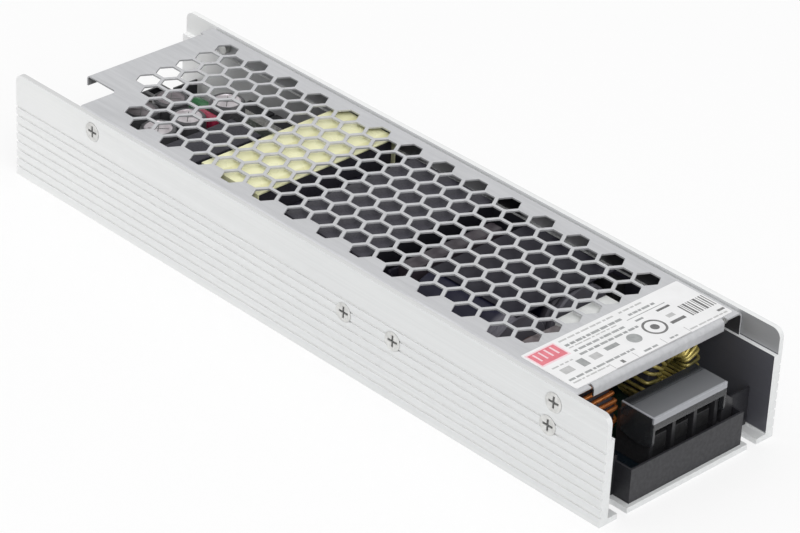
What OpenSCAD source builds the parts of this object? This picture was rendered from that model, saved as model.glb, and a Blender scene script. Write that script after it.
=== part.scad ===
// Enclosed slim power supply: ribbed aluminium channel, perforated cover, barrier terminals at both ends.
// Millimetres. +X is the input end, -Y the wall with the device screws, +Z up, z = 0 under the base.

/* [Chassis] */
// Length of the channel
chassis_l = 220; // [217:0.5:250]
// Width over both walls
chassis_w = 62; // [61:0.5:74]
// Height of the walls
chassis_h = 31; // [31:0.5:38]
// Thickness of the base
base_t = 1.6; // [1.2:0.1:2]
// Thickness of the walls below the ledge
wall_t = 2.8; // [2.4:0.1:3.2]
// Thickness of the rim above the ledge
rim_t = 1.5; // [1.3:0.1:1.7]
// Height of the rim above the ledge
rim_h = 6.8; // [6:0.1:7.6]
// Radius of the upper corners of the walls
corner_r = 2.5; // [1:0.1:4]
// Height of the plain band above the ribs
plain_band_h = 9.6; // [9.2:0.1:12]
// Spacing of the grooves between the ribs
groove_pitch = 2.6; // [2.2:0.1:3.4]
// Width of one groove
groove_w = 1; // [0.6:0.1:1.4]
// Depth of one groove
groove_d = 0.45; // [0.2:0.05:0.7]
// Width of the open mounting slots
slot_w = 3.4; // [3:0.1:4]
// Depth of the mounting slots from the end of the base
slot_l = 4.5; // [4:0.1:5]
// Distance between the two mounting slots at one end
slot_spacing = 46.4; // [46:0.2:48]

/* [Cover] */
// Distance from each end of the channel to the cover
cover_inset = 12.25; // [11:0.25:12.5]
// Thickness of the cover sheet
cover_t = 0.5; // [0.4:0.1:1.1]
// How far the top of the cover lies below the walls
cover_drop = 0.3; // [0.1:0.1:0.6]
// Outer radius of the folds
fold_r = 1.3; // [1.2:0.1:1.8]
// Height of the front and rear lips
lip_h = 3.1; // [2.4:0.1:4]
// Width of the lips
lip_w = 46; // [40:1:50]
// Length of the corner notch along the cover
notch_l = 12.5; // [8:0.5:14]
// Width of the corner notch across the cover
notch_w = 13; // [8:0.2:14]
// Radius of the inner corner of the notch
notch_r = 1.5; // [0.5:0.5:3]
// Play between the cover and the channel
cover_gap = 0.1; // [0.05:0.05:0.2]

/* [Perforation] */
// Distance between neighbouring holes
hole_pitch = 7; // [6.6:0.1:7.2]
// Width of the web between neighbouring holes
hole_web = 1; // [0.8:0.1:1.6]
// Plain edge between the holes and the folds at the sides
hole_side_edge = 1.5; // [0.5:0.1:2.2]
// Plain edge between the last row and the rear of the cover
hole_rear_edge = 8; // [4:0.5:8.5]
// Plain edge between the holes and the corner notch
hole_notch_edge = 3; // [2.5:0.1:3.5]
// Distance from the front of the cover to the first row
hole_front = 25.5; // [25:0.5:28]

/* [Board and tray] */
// Thickness of the circuit board
board_t = 1.6; // [1.2:0.2:2]
// Height of the standoffs under the board
standoff_h = 2.8; // [2.4:0.1:3.1]
// Width across the flats of the standoffs
standoff_af = 5.5; // [5:0.5:6]
// Thickness of the insulating tray
tray_t = 0.6; // [0.4:0.1:0.8]
// Height of the front and rear panels of the tray
tray_panel_h = 9.6; // [8:0.1:10]
// Width of those panels
tray_panel_w = 40; // [39:0.5:42]
// Distance from the end of the channel to the panels
tray_inset = 1; // [0.8:0.1:1.5]
// Height of the panels beside the mounting slots
tray_jog_h = 10.9; // [9:0.1:11.5]
// Height of the tray's long walls
tray_wall_h = 5.8; // [5:0.1:6]

/* [Screws] */
// Nominal radius of the sheet and device screws
screw_r = 1.5; // [1.4:0.05:1.5]
// Radius of their countersunk heads
screw_head_r = 2.8; // [2.6:0.1:3]
// Depth of the countersink
screw_sink = 1.3; // [1.1:0.1:1.3]
// Depth of the screw heads below the top of the walls
cover_screw_drop = 4.5; // [4:0.1:4.8]

/* [Terminals] */
// Spacing of the input terminals
pole_pitch = 7.62; // [7.4:0.02:7.8]
// Number of input poles
input_poles = 3; // [2:1:3]
// Sideways place of the input block
input_y = 1.5; // [-1:0.1:1.6]
// Height of the input block above the board
input_block_h = 14.3; // [14:0.1:15]
// Depth of the input block
input_block_d = 11; // [10.5:0.1:11]
// Thickness of the barriers between poles
barrier_t = 1.2; // [1:0.1:1.4]
// Spacing of the output terminals
output_pitch = 11; // [10:0.5:12]
// Number of output poles
output_poles = 2; // [1:1:2]
// Height of the output block above the board
output_block_h = 7.5; // [7:0.1:8]
// Depth of the output block
output_block_d = 10; // [9.5:0.1:10.5]

/* [Terminal cover] */
// Wall thickness of the hinged cover
lid_t = 0.8; // [0.7:0.1:0.9]
// Play around the hinged cover
lid_gap = 0.2; // [0.15:0.05:0.25]
// Height of its front lip
lid_lip_h = 3.7; // [3:0.1:4.2]
// Radius of the hinge pegs
peg_r = 0.8; // [0.6:0.05:0.9]
// Running clearance around the pegs
peg_gap = 0.06; // [0.04:0.01:0.08]

/* [Filter] */
// Outer diameter of the near ring choke
near_ring_d = 17.8; // [16:0.2:18]
// Width of the near ring choke over its winding
near_ring_w = 13.6; // [12:0.2:14]
// Outer diameter of the far ring choke
far_ring_d = 20.5; // [17:0.5:21]
// Width of the far ring choke over its winding
far_ring_w = 12; // [10:0.5:12.5]
// Radius of the wire on both ring chokes
ring_wire = 1.1; // [0.8:0.1:1.2]
// Length of the line capacitor across the channel
line_cap_l = 18.2; // [17:0.2:20]
// Thickness of the line capacitor
line_cap_t = 7; // [6:0.5:8]
// Radius of the surge varistor
varistor_r = 5.5; // [4:0.5:5.5]
// Radius of the inrush thermistor
thermistor_r = 7; // [5:0.5:7]
// Length of the line fuse
fuse_l = 10; // [8:0.5:10]
// Radius of the line fuse
fuse_r = 2.6; // [2:0.1:2.8]

/* [Power stage] */
// Length of the bulk capacitors
bulk_l = 30; // [26:0.5:34]
// Clearance between the bulk capacitors and the power devices beside them
bulk_side_gap = 1.6; // [1:0.1:3]
// Clearance above the bulk capacitors
bulk_top_gap = 2.1; // [1.5:0.1:4]
// How much longer the boost choke is than the transformer
boost_extra_l = 9.3; // [4:0.1:12]
// Clearance between the boost choke and the power devices beside it
boost_side_gap = 0.6; // [0.4:0.1:4]
// Clearance above the boost choke
boost_top_gap = 1.3; // [0.8:0.1:3]
// Clearance between the transformer and the near wall
transformer_near_gap = 5.7; // [4:0.1:8]
// Clearance between the transformer and the far wall
transformer_far_gap = 1.7; // [1:0.1:4]
// Clearance above the transformer
transformer_top_gap = 0.9; // [0.6:0.1:3]

/* [Output stage] */
// Diameter of the output capacitors
out_cap_d = 10; // [8:0.5:10]
// Height of the output capacitors
out_cap_h = 20; // [16:0.5:21]
// Length of the output choke along the channel
choke_l = 13.5; // [11:0.5:16]
// Width of the output choke across the channel
choke_w = 25; // [21:0.5:26]
// Height of the output choke
choke_h = 19.6; // [16:0.1:21]

/* [Hidden] */
$fn = 48;

eps = 0.01;
end_x = chassis_l / 2;
side_y = chassis_w / 2;
inner_y = side_y - wall_t;
rim_y = side_y - rim_t;
ledge_z = chassis_h - rim_h;

// Cover levels and edges
cover_z = chassis_h - cover_drop;
cover_l = chassis_l - 2 * cover_inset;
cover_end = cover_l / 2;
cover_y = rim_y - cover_gap;
under_cover = cover_z - cover_t;
flange_z = ledge_z + cover_gap;
relief = 1;

// Perforation lattice: rows run across the cover, every second row is shifted by half a pitch
row_step = hole_pitch * sqrt(3) / 2;
hole_r = (hole_pitch - hole_web) / sqrt(3);
first_row_x = cover_end - hole_front;
hole_flats = hole_pitch - hole_web;
hole_rows = floor((cover_l - hole_front - hole_r - hole_rear_edge) / row_step) + 1;
hole_band = 2 * (cover_y - fold_r - hole_side_edge);
holes_across = floor((hole_band - hole_flats - hole_pitch / 2) / hole_pitch) + 1;

// Board and tray
tray_z = base_t;
board_z = base_t + standoff_h;
board_top = board_z + board_t;
board_gap = 0.3;
tray_x = end_x - tray_inset;
tray_y = inner_y - 0.3;
jog_x = end_x - slot_l - slot_w / 2 - 0.1;
standoff_y = inner_y - 5;
board_screw_r = 1.5;
board_head_r = 2.7;

// Screw places
cover_screw_z = chassis_h - cover_screw_drop;
front_screw_x = cover_end - 5.35;
near_rear_screw_x = -cover_end + notch_l + 7.4;
far_rear_screw_x = -front_screw_x;
device_z = base_t + 15.6;
package_t = 4.6;
package_lead = tray_z + tray_wall_h + 0.3 - board_top;
tab_t = 1.3;
earth_x = front_screw_x - 1.3;
earth_z = cover_screw_z - 7;
cover_screw_l = rim_t + cover_t + 1.5;

// Input block, seen along its own length
block_front = end_x - 4;
block_back = block_front - input_block_d;
block_w = input_poles * pole_pitch + barrier_t;
block_y0 = input_y - block_w / 2;
block_y1 = block_y0 + block_w;
block_top = board_top + input_block_h;
peg_x = block_back + 3.3;
peg_z = block_top - 1.6;
peg_l = lid_t + lid_gap;
ear_gap = lid_t + 2 * lid_gap + 0.5;
ear_y1 = min(tray_panel_w / 2 - tray_t - 0.4, standoff_y - board_head_r - 0.6);
ear_w = ear_y1 - block_y1 - ear_gap;
shelf_z = board_top + 7;
plate_t = 0.8;
pole_screw_x = block_back + 5.6;
lid_top = block_top + lid_gap + lid_t;

// Output block
out_front = -end_x + 4.2;
out_back = out_front + output_block_d;
out_w = output_poles * output_pitch + barrier_t;

// Filter parts, from the input block towards the rear
near_ring_side = 16;
far_ring_side = 18;
near_ring_x = block_back - 0.7 - near_ring_d / 2;
near_ring_y = -side_y + near_ring_side;
far_ring_x = block_back - 2.8 - far_ring_w / 2;
far_ring_y = side_y - far_ring_side;
line_cap_x1 = near_ring_x - near_ring_d / 2 - 0.5;
line_cap_x0 = line_cap_x1 - line_cap_t;
fuse_bay = 7.6;

// Bulk capacitors, two cans side by side that fill the height or the width between the devices
bulk_x1 = line_cap_x0 - fuse_bay;
bulk_x0 = bulk_x1 - bulk_l;
bulk_mid_gap = 0.4;
bulk_d = min(inner_y - package_t - bulk_side_gap - bulk_mid_gap, under_cover - board_top - bulk_top_gap);
bulk_y = bulk_d / 2 + bulk_mid_gap;
bypass_t = 5;
bypass_x1 = bulk_x0 - 3.9;
bypass_x0 = bypass_x1 - bypass_t;

// Output stage, from the output block towards the front
header_t = 5;
header_gap = 1.8;
cans_rear_gap = 3.5;
cans_row_gap = 0.8;
choke_gap = 2.2;
transformer_gap = 5.4;
header_x = out_back + header_gap + header_t / 2;
rear_cans_x = header_x + header_t / 2 + cans_rear_gap + out_cap_d / 2;
front_cans_x = rear_cans_x + out_cap_d + cans_row_gap;
choke_x0 = front_cans_x + out_cap_d / 2 + choke_gap;
choke_x1 = choke_x0 + choke_l;
transformer_x0 = choke_x1 + transformer_gap;

// Boost choke and transformer share the room that is left between the two, around the gate transformer
boost_x1 = bypass_x0 - 3.4;
gate_t = 6;
gate_front_gap = 1.1;
gate_rear_gap = 2.3;
wound_room = boost_x1 - transformer_x0 - gate_t - gate_front_gap - gate_rear_gap;
boost_l = (wound_room + boost_extra_l) / 2;
transformer_l = (wound_room - boost_extra_l) / 2;
boost_x0 = boost_x1 - boost_l;
boost_w = 2 * (inner_y - package_t - boost_side_gap);
boost_h = under_cover - board_top - boost_top_gap;
gate_x1 = boost_x0 - gate_front_gap;
gate_x0 = gate_x1 - gate_t;
transformer_x1 = transformer_x0 + transformer_l;
transformer_y0 = -inner_y + transformer_near_gap;
transformer_w = 2 * inner_y - transformer_near_gap - transformer_far_gap;
transformer_h = under_cover - board_top - transformer_top_gap;
tape_t = 0.5;

// Screws that hold the power devices to the walls, and the board to its standoffs
device_x = [boost_x1 + 1.2, bulk_x0 + 6.6];
rectifier_pitch = 26;
front_rectifier_x = transformer_x0 - 14;
rectifier_x = [front_rectifier_x - rectifier_pitch, front_rectifier_x];
rectifier_z = board_top + 6.6;
fix_x = [-end_x + 11, (gate_x0 + gate_x1) / 2, line_cap_x0 - 4.6, end_x - 11.5];
fix_points = [for (x = fix_x, s = [-1, 1]) [x, s * standoff_y]];

// ---------- shared shapes ----------

// A block given by its ranges along x, y and z
module block(x, y, z)
    translate([x[0], y[0], z[0]]) cube([x[1] - x[0], y[1] - y[0], z[1] - z[0]]);

// Children drawn in the YZ plane and drawn out along x from a to b
module along_x(a, b)
    translate([a, 0, 0]) rotate([90, 0, 90]) linear_extrude(b - a) children();

// Children drawn in the XZ plane and drawn out along y from a to b
module along_y(a, b)
    translate([0, b, 0]) rotate([90, 0, 0]) linear_extrude(b - a) children();

// A round bar along y
module bar_y(r, a, b)
    translate([0, a, 0]) rotate([-90, 0, 0]) cylinder(r = r, h = b - a);

// A round bar along x
module bar_x(r, a, b)
    translate([a, 0, 0]) rotate([0, 90, 0]) cylinder(r = r, h = b - a);

// Children at the place of a wall screw, turned so that +z points out of the wall
module on_wall(x, z, side)
    translate([x, side * side_y, z]) rotate([side > 0 ? -90 : 90, 0, 0]) children();

// A cross recess, cut downwards from z = 0
module cross_recess(w, d)
    for (turn = [0, 90]) rotate(turn) translate([-w / 2, -0.35, -d]) cube([w, 0.7, d + 1]);

// A countersunk screw whose head is flush at z = 0
module sunk_screw(l)
    difference() {
        union() {
            translate([0, 0, -screw_sink])
                cylinder(r1 = screw_r - 0.05, r2 = screw_head_r - 0.1, h = screw_sink);
            translate([0, 0, -l]) cylinder(r = screw_r - 0.05, h = l - screw_sink + eps);
        }
        cross_recess(screw_head_r * 1.2, 0.6);
    }

// The hole for such a screw
module sunk_hole(l) {
    translate([0, 0, -screw_sink]) cylinder(r1 = screw_r, r2 = screw_head_r, h = screw_sink);
    translate([0, 0, -l]) cylinder(r = screw_r, h = l);
    cylinder(r = screw_head_r, h = 1);
}

// A pan-head screw standing on z = 0 with a shank below it
module pan_screw(head_r, head_h, shank_r, shank_l)
    difference() {
        union() {
            cylinder(r1 = head_r, r2 = head_r * 0.86, h = head_h);
            translate([0, 0, -shank_l]) cylinder(r = shank_r, h = shank_l + eps);
        }
        translate([0, 0, head_h]) cross_recess(head_r * 1.3, head_h * 0.5);
    }

// One band of winding around a ring's section, centred on an angle of the ring
module ring_turn(r_in, r_out, w, wire, spread, a)
    rotate(a - spread / 2) rotate_extrude(angle = spread)
        difference() {
            translate([r_in - wire, -w / 2 - wire]) square([r_out - r_in + 2 * wire, w + 2 * wire]);
            translate([r_in - 0.1, -w / 2 - 0.1]) square([r_out - r_in + 0.2, w + 0.2]);
        }

module ring(r_in, r_out, w)
    rotate_extrude() translate([r_in, -w / 2]) square([r_out - r_in, w]);

// ---------- chassis ----------

groove_count = floor((chassis_h - plain_band_h - groove_w - 1) / groove_pitch) + 1;

module chassis_section()
    difference() {
        translate([-side_y, 0]) square([chassis_w, chassis_h]);
        translate([-inner_y, base_t]) square([2 * inner_y, chassis_h]);
        translate([-rim_y, ledge_z]) square([2 * rim_y, chassis_h]);
        for (i = [0 : groove_count - 1], side = [-1, 1])
            translate([side * side_y, chassis_h - plain_band_h - groove_w - i * groove_pitch])
                polygon([[side, 0], [-side * groove_d, groove_w * 0.25], [-side * groove_d, groove_w * 0.75],
                         [side, groove_w]]);
    }

module end_slot_cuts()
    for (end = [-1, 1], side = [-1, 1])
        translate([end * (end_x - slot_l), side * slot_spacing / 2, -1]) {
            cylinder(r = slot_w / 2, h = base_t + 2);
            translate([end > 0 ? 0 : -slot_l - 1, -slot_w / 2, 0]) cube([slot_l + 1, slot_w, base_t + 2]);
        }

module corner_cuts()
    for (end = [-1, 1])
        translate([end * (end_x - corner_r), -side_y - 1, chassis_h - corner_r])
            difference() {
                translate([end > 0 ? 0 : -corner_r - 1, 0, 0])
                    cube([corner_r + 1, chassis_w + 2, corner_r + 1]);
                translate([0, -1, 0]) rotate([-90, 0, 0]) cylinder(r = corner_r, h = chassis_w + 4);
            }

module all_cover_screws() {
    for (x = [near_rear_screw_x, front_screw_x]) on_wall(x, cover_screw_z, -1) children();
    for (x = [far_rear_screw_x, front_screw_x]) on_wall(x, cover_screw_z, 1) children();
}

module switch_places()
    for (x = device_x) on_wall(x, device_z, -1) children();

module rectifier_places()
    for (x = rectifier_x) on_wall(x, rectifier_z, 1) children();

module chassis()
    color("gainsboro")
    difference() {
        along_x(-end_x, end_x) chassis_section();
        end_slot_cuts();
        corner_cuts();
        all_cover_screws() sunk_hole(rim_t + 1);
        switch_places() sunk_hole(wall_t + 1);
        rectifier_places() sunk_hole(wall_t + 1);
        on_wall(earth_x, earth_z, -1) sunk_hole(wall_t + 1);
    }

// ---------- cover and label ----------

// A quarter of a folded sheet, its centre at the origin, facing +x and +y
module fold_profile()
    intersection() {
        difference() {
            circle(r = fold_r);
            circle(r = fold_r - cover_t);
        }
        square(2 * fold_r);
    }

module cover_section() {
    translate([-cover_y + fold_r, under_cover]) square([2 * (cover_y - fold_r), cover_t]);
    for (side = [0, 1]) mirror([side, 0]) {
        translate([cover_y - fold_r, cover_z - fold_r]) fold_profile();
        translate([cover_y - cover_t, flange_z]) square([cover_t, cover_z - fold_r - flange_z]);
    }
}

module lip_section() {
    translate([cover_end - fold_r, cover_z - fold_r]) fold_profile();
    translate([cover_end - cover_t, cover_z - lip_h]) square([cover_t, lip_h - fold_r]);
}

function hole_x(row) = first_row_x - row * row_step;
function hole_y(row, i) = (i - (holes_across - 1) / 2 + (row % 2 == 0 ? 0.25 : -0.25)) * hole_pitch;
function beside_notch(x, y) =
    x - hole_r < -cover_end + notch_l + hole_notch_edge
    && y - hole_flats / 2 < -cover_y + notch_w + hole_notch_edge;

module hex_field()
    for (row = [0 : hole_rows - 1], i = [0 : holes_across - 1])
        if (!beside_notch(hole_x(row), hole_y(row, i)))
            translate([hole_x(row), hole_y(row, i)]) circle(r = hole_r, $fn = 6);

module notch_cut()
    translate([-cover_end - 1, -cover_y - 1, flange_z - 1])
        difference() {
            cube([notch_l + 1, notch_w + 1, chassis_h]);
            translate([notch_l + 1 - notch_r, notch_w + 1 - notch_r, -1])
                difference() {
                    cube([notch_r + 1, notch_r + 1, chassis_h + 2]);
                    translate([0, 0, -1]) cylinder(r = notch_r, h = chassis_h + 4);
                }
        }

module top_cover()
    color("silver")
    difference() {
        union() {
            difference() {
                along_x(-cover_end, cover_end) cover_section();
                for (end = [-1, 1])
                    translate([end * cover_end - fold_r, -lip_w / 2 - relief, flange_z - 1])
                        cube([2 * fold_r, lip_w + 2 * relief, chassis_h]);
            }
            for (end = [0, 1]) mirror([end, 0, 0]) along_y(-lip_w / 2, lip_w / 2) lip_section();
        }
        translate([0, 0, under_cover - 1]) linear_extrude(cover_t + 2) hex_field();
        notch_cut();
        all_cover_screws() translate([0, 0, -cover_screw_l]) cylinder(r = screw_r, h = cover_screw_l);
    }

label_t = 0.15;
label_x1 = cover_end - 1.5;
label_l = hole_front - hole_r - 3.4;

module rating_label()
    color("whitesmoke")
    block([label_x1 - label_l, label_x1], [-cover_y + fold_r + 0.6, cover_y - fold_r - 0.6],
          [cover_z, cover_z + label_t]);

// ---------- fasteners ----------

module cover_screws()
    color("lightgray") all_cover_screws() sunk_screw(cover_screw_l);

nut_h = 2.2;
bar_t = 3;

module device_screws()
    color("lightgray") {
        switch_places() sunk_screw(wall_t + tab_t + nut_h);
        rectifier_places() sunk_screw(wall_t + package_t + bar_t);
    }

nut_r = 3.1;

module device_nuts()
    color("lightgray")
    switch_places()
        translate([0, 0, -wall_t - tab_t - nut_h])
            difference() {
                cylinder(r = nut_r, h = nut_h, $fn = 6);
                translate([0, 0, -1]) cylinder(r = screw_r, h = nut_h + 2);
            }

module earth_screw()
    color("lightgray") on_wall(earth_x, earth_z, -1) sunk_screw(wall_t + 4);

module earth_lug()
    color("darkkhaki")
    difference() {
        union() {
            block([earth_x - 3, earth_x + 3], [-inner_y, -inner_y + 0.8],
                  [tray_z + tray_wall_h + 0.3, earth_z + 3.4]);
            block([earth_x - 3, earth_x + 3], [-inner_y, -inner_y + 4],
                  [tray_z + tray_wall_h + 0.3, tray_z + tray_wall_h + 1.1]);
            block([earth_x - 0.6, earth_x + 0.6], [-inner_y + 3.2, -inner_y + 4],
                  [board_top, tray_z + tray_wall_h + 0.4]);
        }
        on_wall(earth_x, earth_z, -1) translate([0, 0, -8]) cylinder(r = screw_r, h = 8);
    }

// ---------- tray, board and standoffs ----------

// Outline of the tray's outside, drawn in by a distance; it steps back around the mounting slots
module tray_outline(inset) {
    square([2 * (jog_x - inset), 2 * (tray_y - inset)], center = true);
    square([2 * (tray_x - inset), tray_panel_w - 2 * inset], center = true);
}

module tray_wall_ring(h)
    linear_extrude(h) difference() {
        tray_outline(0);
        tray_outline(tray_t);
    }

module insulation_tray()
    color([0.16, 0.16, 0.18])
    translate([0, 0, tray_z])
    difference() {
        union() {
            linear_extrude(tray_t) tray_outline(0);
            tray_wall_ring(tray_wall_h);
            intersection() {
                tray_wall_ring(tray_panel_h);
                for (end = [-1, 1])
                    translate([end * end_x, 0, 0]) cube([4 * slot_l, tray_panel_w, chassis_h], center = true);
            }
            for (end = [-1, 1], side = [-1, 1])
                translate([end * (jog_x - tray_t / 2), side * (tray_panel_w / 2 - tray_t + tray_y) / 2,
                           tray_jog_h / 2])
                    cube([tray_t, tray_y - tray_panel_w / 2 + tray_t, tray_jog_h], center = true);
        }
        for (p = fix_points)
            translate([p[0], p[1], -1]) cylinder(r = standoff_af / sqrt(3) + 0.3, h = tray_t + 2);
    }

module circuit_board()
    color([0.13, 0.33, 0.2])
    translate([0, 0, board_z])
    difference() {
        linear_extrude(board_t) tray_outline(tray_t + board_gap);
        for (p = fix_points) translate([p[0], p[1], -1]) cylinder(r = board_screw_r + 0.1, h = board_t + 2);
    }

module board_standoffs()
    color("darkkhaki")
    for (p = fix_points) translate([p[0], p[1], base_t])
        difference() {
            cylinder(r = standoff_af / sqrt(3), h = standoff_h, $fn = 6);
            translate([0, 0, 0.4]) cylinder(r = board_screw_r, h = standoff_h);
        }

module board_screws()
    color("lightgray")
    for (p = fix_points) translate([p[0], p[1], board_top])
        pan_screw(board_head_r, 1.6, board_screw_r - 0.05, board_t + standoff_h - 0.8);

// ---------- input terminals ----------

// Side view of the block's walls: full height in front, low behind the hinge, round over the peg
module wall_profile() {
    translate([peg_x, board_top]) square([block_front - peg_x, block_top - board_top]);
    translate([block_back, board_top]) square([peg_x - block_back + eps, peg_z - 0.9 - board_top]);
    translate([peg_x, peg_z]) circle(r = block_top - peg_z);
}

module input_pole_places()
    for (i = [0 : input_poles - 1])
        translate([pole_screw_x, block_y0 + barrier_t / 2 + (i + 0.5) * pole_pitch, shelf_z]) children();

module input_terminal_block()
    color([0.09, 0.09, 0.1])
    difference() {
        union() {
            for (i = [0 : input_poles])
                along_y(block_y0 + i * pole_pitch, block_y0 + i * pole_pitch + barrier_t) wall_profile();
            block([block_back, pole_screw_x + 3.6], [block_y0, block_y1], [board_top, shelf_z]);
            block([block_back, block_back + 1.6], [block_y0, block_y1], [board_top, peg_z - 1.4]);
            // end ear beyond the slot that the hinged cover's arm moves in
            block([block_back + 3, block_front], [block_y1 - eps, ear_y1], [board_top, board_top + 2.4]);
            translate([0, block_y1 + ear_gap, 0])
                along_x(block_back + 3, block_front)
                    polygon([[0, board_top], [ear_w, board_top], [ear_w, shelf_z + 1], [0, shelf_z + 4]]);
            for (y = [block_y0 - peg_l, block_y1 - eps])
                translate([peg_x, 0, peg_z]) bar_y(peg_r, y, y + peg_l + eps);
        }
        input_pole_places() translate([0, 0, -5]) cylinder(r = 1.5, h = 6);
    }

module input_terminal_plates()
    color("khaki")
    input_pole_places()
        difference() {
            union() {
                translate([-3.6, -pole_pitch / 2 + 0.75, 0]) cube([7.2, pole_pitch - 1.5, plate_t]);
                translate([3.6, -pole_pitch / 2 + 1.4, -3.4])
                    cube([plate_t, pole_pitch - 2.8, 3.4 + plate_t]);
            }
            translate([0, 0, -1]) cylinder(r = 1.5, h = plate_t + 2);
        }

module input_terminal_screws()
    color("lightgray")
    input_pole_places() translate([0, 0, plate_t]) pan_screw(2.6, 1.7, 1.45, 4);

lid_back = peg_x - 1.5;
lid_front = block_front + 1.4;
arm_drop = 9.1;

// Side view of the hinged cover's arms, with a curved lower edge
module lid_arm_profile()
    difference() {
        intersection() {
            translate([lid_back, lid_top - arm_drop - 1]) square([lid_front - lid_back, arm_drop + 1]);
            translate([(lid_back + lid_front) / 2, lid_top - arm_drop + 12.5]) circle(r = 12.5);
        }
        translate([peg_x, peg_z]) circle(r = peg_r + peg_gap);
    }

module terminal_cover()
    color([0.55, 0.6, 0.64, 0.4]) {
        for (y = [block_y0 - lid_gap - lid_t, block_y1 + lid_gap]) along_y(y, y + lid_t) lid_arm_profile();
        block([lid_back, lid_front], [block_y0 - lid_gap - lid_t, block_y1 + lid_gap + lid_t],
              [lid_top - lid_t, lid_top]);
        block([lid_front - lid_t, lid_front], [block_y0 - lid_gap - lid_t, block_y1 + lid_gap + lid_t],
              [lid_top - lid_lip_h, lid_top - lid_t + eps]);
    }

// ---------- output terminals ----------

out_shelf_z = board_top + 3.2;
out_top = board_top + output_block_h;

module output_pole_places()
    for (i = [0 : output_poles - 1])
        translate([out_front + output_block_d / 2, (i - (output_poles - 1) / 2) * output_pitch, out_shelf_z])
            children();

module output_terminal_block()
    color([0.09, 0.09, 0.1])
    difference() {
        union() {
            for (i = [0 : output_poles])
                translate([0, -out_w / 2 + i * output_pitch, 0])
                    block([out_front, out_back], [0, barrier_t], [board_top, out_top]);
            block([out_front + 0.8, out_back], [-out_w / 2, out_w / 2], [board_top, out_shelf_z]);
            block([out_back - 1.4, out_back], [-out_w / 2, out_w / 2], [board_top, out_top]);
        }
        output_pole_places() translate([0, 0, -2.4]) cylinder(r = 2, h = 4);
    }

module output_terminal_plates()
    color("khaki")
    output_pole_places()
        difference() {
            translate([-output_block_d / 2 + 1, -output_pitch / 2 + 1, 0])
                cube([output_block_d - 2.6, output_pitch - 2, 1]);
            translate([0, 0, -1]) cylinder(r = 2, h = 3);
        }

module output_terminal_screws()
    color("lightgray")
    output_pole_places() translate([0, 0, 1]) pan_screw(3.3, 2, 1.95, 2.8);

// ---------- filter section ----------

// Axis of the near ring lies across the channel, axis of the far ring along it
module near_ring_place()
    translate([near_ring_x, near_ring_y, board_top + near_ring_d / 2]) rotate([90, 0, 0]) children();

module far_ring_place()
    translate([far_ring_x, far_ring_y, board_top + far_ring_d / 2]) rotate([90, 0, 90]) children();

near_turns = 8;
far_turns = 13;

module line_choke_core()
    color([0.2, 0.21, 0.2])
    near_ring_place() ring(near_ring_d / 4, near_ring_d / 2 - ring_wire, near_ring_w - 2 * ring_wire);

module line_choke_winding()
    color([0.66, 0.34, 0.16])
    near_ring_place()
        for (half = [0, 180], i = [0 : near_turns - 1])
            ring_turn(near_ring_d / 4, near_ring_d / 2 - ring_wire, near_ring_w - 2 * ring_wire, ring_wire,
                      124 / near_turns, half + 18 + i * 144 / (near_turns - 1));

module filter_choke_core()
    color([0.1, 0.12, 0.08])
    far_ring_place() ring(far_ring_d / 4, far_ring_d / 2 - ring_wire, far_ring_w - 2 * ring_wire);

module filter_choke_winding()
    color([0.68, 0.63, 0.25])
    far_ring_place()
        for (i = [0 : far_turns - 1])
            ring_turn(far_ring_d / 4, far_ring_d / 2 - ring_wire, far_ring_w - 2 * ring_wire, ring_wire * 0.9,
                      310 / far_turns, i * 360 / far_turns);

line_cap_side = 2.4;
line_cap_y0 = line_cap_side - line_cap_l / 2;
line_cap_y1 = line_cap_side + line_cap_l / 2;

module line_capacitor()
    color([0.82, 0.83, 0.8])
    block([line_cap_x0, line_cap_x1], [line_cap_y0, line_cap_y1], [board_top, under_cover - 1.1]);

filter_cap_w = 13;
filter_cap_gap = 0.5;
filter_cap_y1 = line_cap_y0 - filter_cap_gap;

module filter_capacitor()
    color([0.4, 0.36, 0.36])
    block([line_cap_x0 + 1, line_cap_x1], [filter_cap_y1 - filter_cap_w, filter_cap_y1],
          [board_top, under_cover - 1.5]);

// A dipped disc standing on two leads, its faces along x
module dipped_disc(r, t, lead)
    {
        translate([0, 0, lead + r]) bar_x(r, -t / 2, t / 2);
        for (y = [-r * 0.5, r * 0.5]) translate([0, y, 0]) cylinder(r = 0.4, h = lead + r * 0.5);
    }

varistor_t = 4;
varistor_x = line_cap_x1 - varistor_t / 2;
varistor_gap = 1.6;
varistor_y = line_cap_y1 + varistor_gap + varistor_r;

module surge_varistor()
    color([0.12, 0.2, 0.42])
    translate([varistor_x, varistor_y, board_top]) dipped_disc(varistor_r, varistor_t, 2);

// The thermistor's disc stands beside the line capacitor, above the head of a board screw
thermistor_t = 4.6;
thermistor_x = line_cap_x0 - 1.3 - thermistor_t / 2;
thermistor_y = -standoff_y + 5.5 + thermistor_r;

module inrush_thermistor()
    color([0.42, 0.3, 0.27])
    translate([thermistor_x, thermistor_y, board_top]) dipped_disc(thermistor_r, thermistor_t, 3.4);

fuse_x = bulk_x1 + 1.6 + fuse_r;
fuse_y = standoff_y - board_head_r - 0.9 - fuse_l;
fuse_z = board_top + fuse_r + 1;
clip_w = 2.6;

module line_fuse()
    color([0.9, 0.89, 0.84])
    translate([fuse_x, 0, fuse_z]) bar_y(fuse_r, fuse_y, fuse_y + fuse_l);

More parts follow.
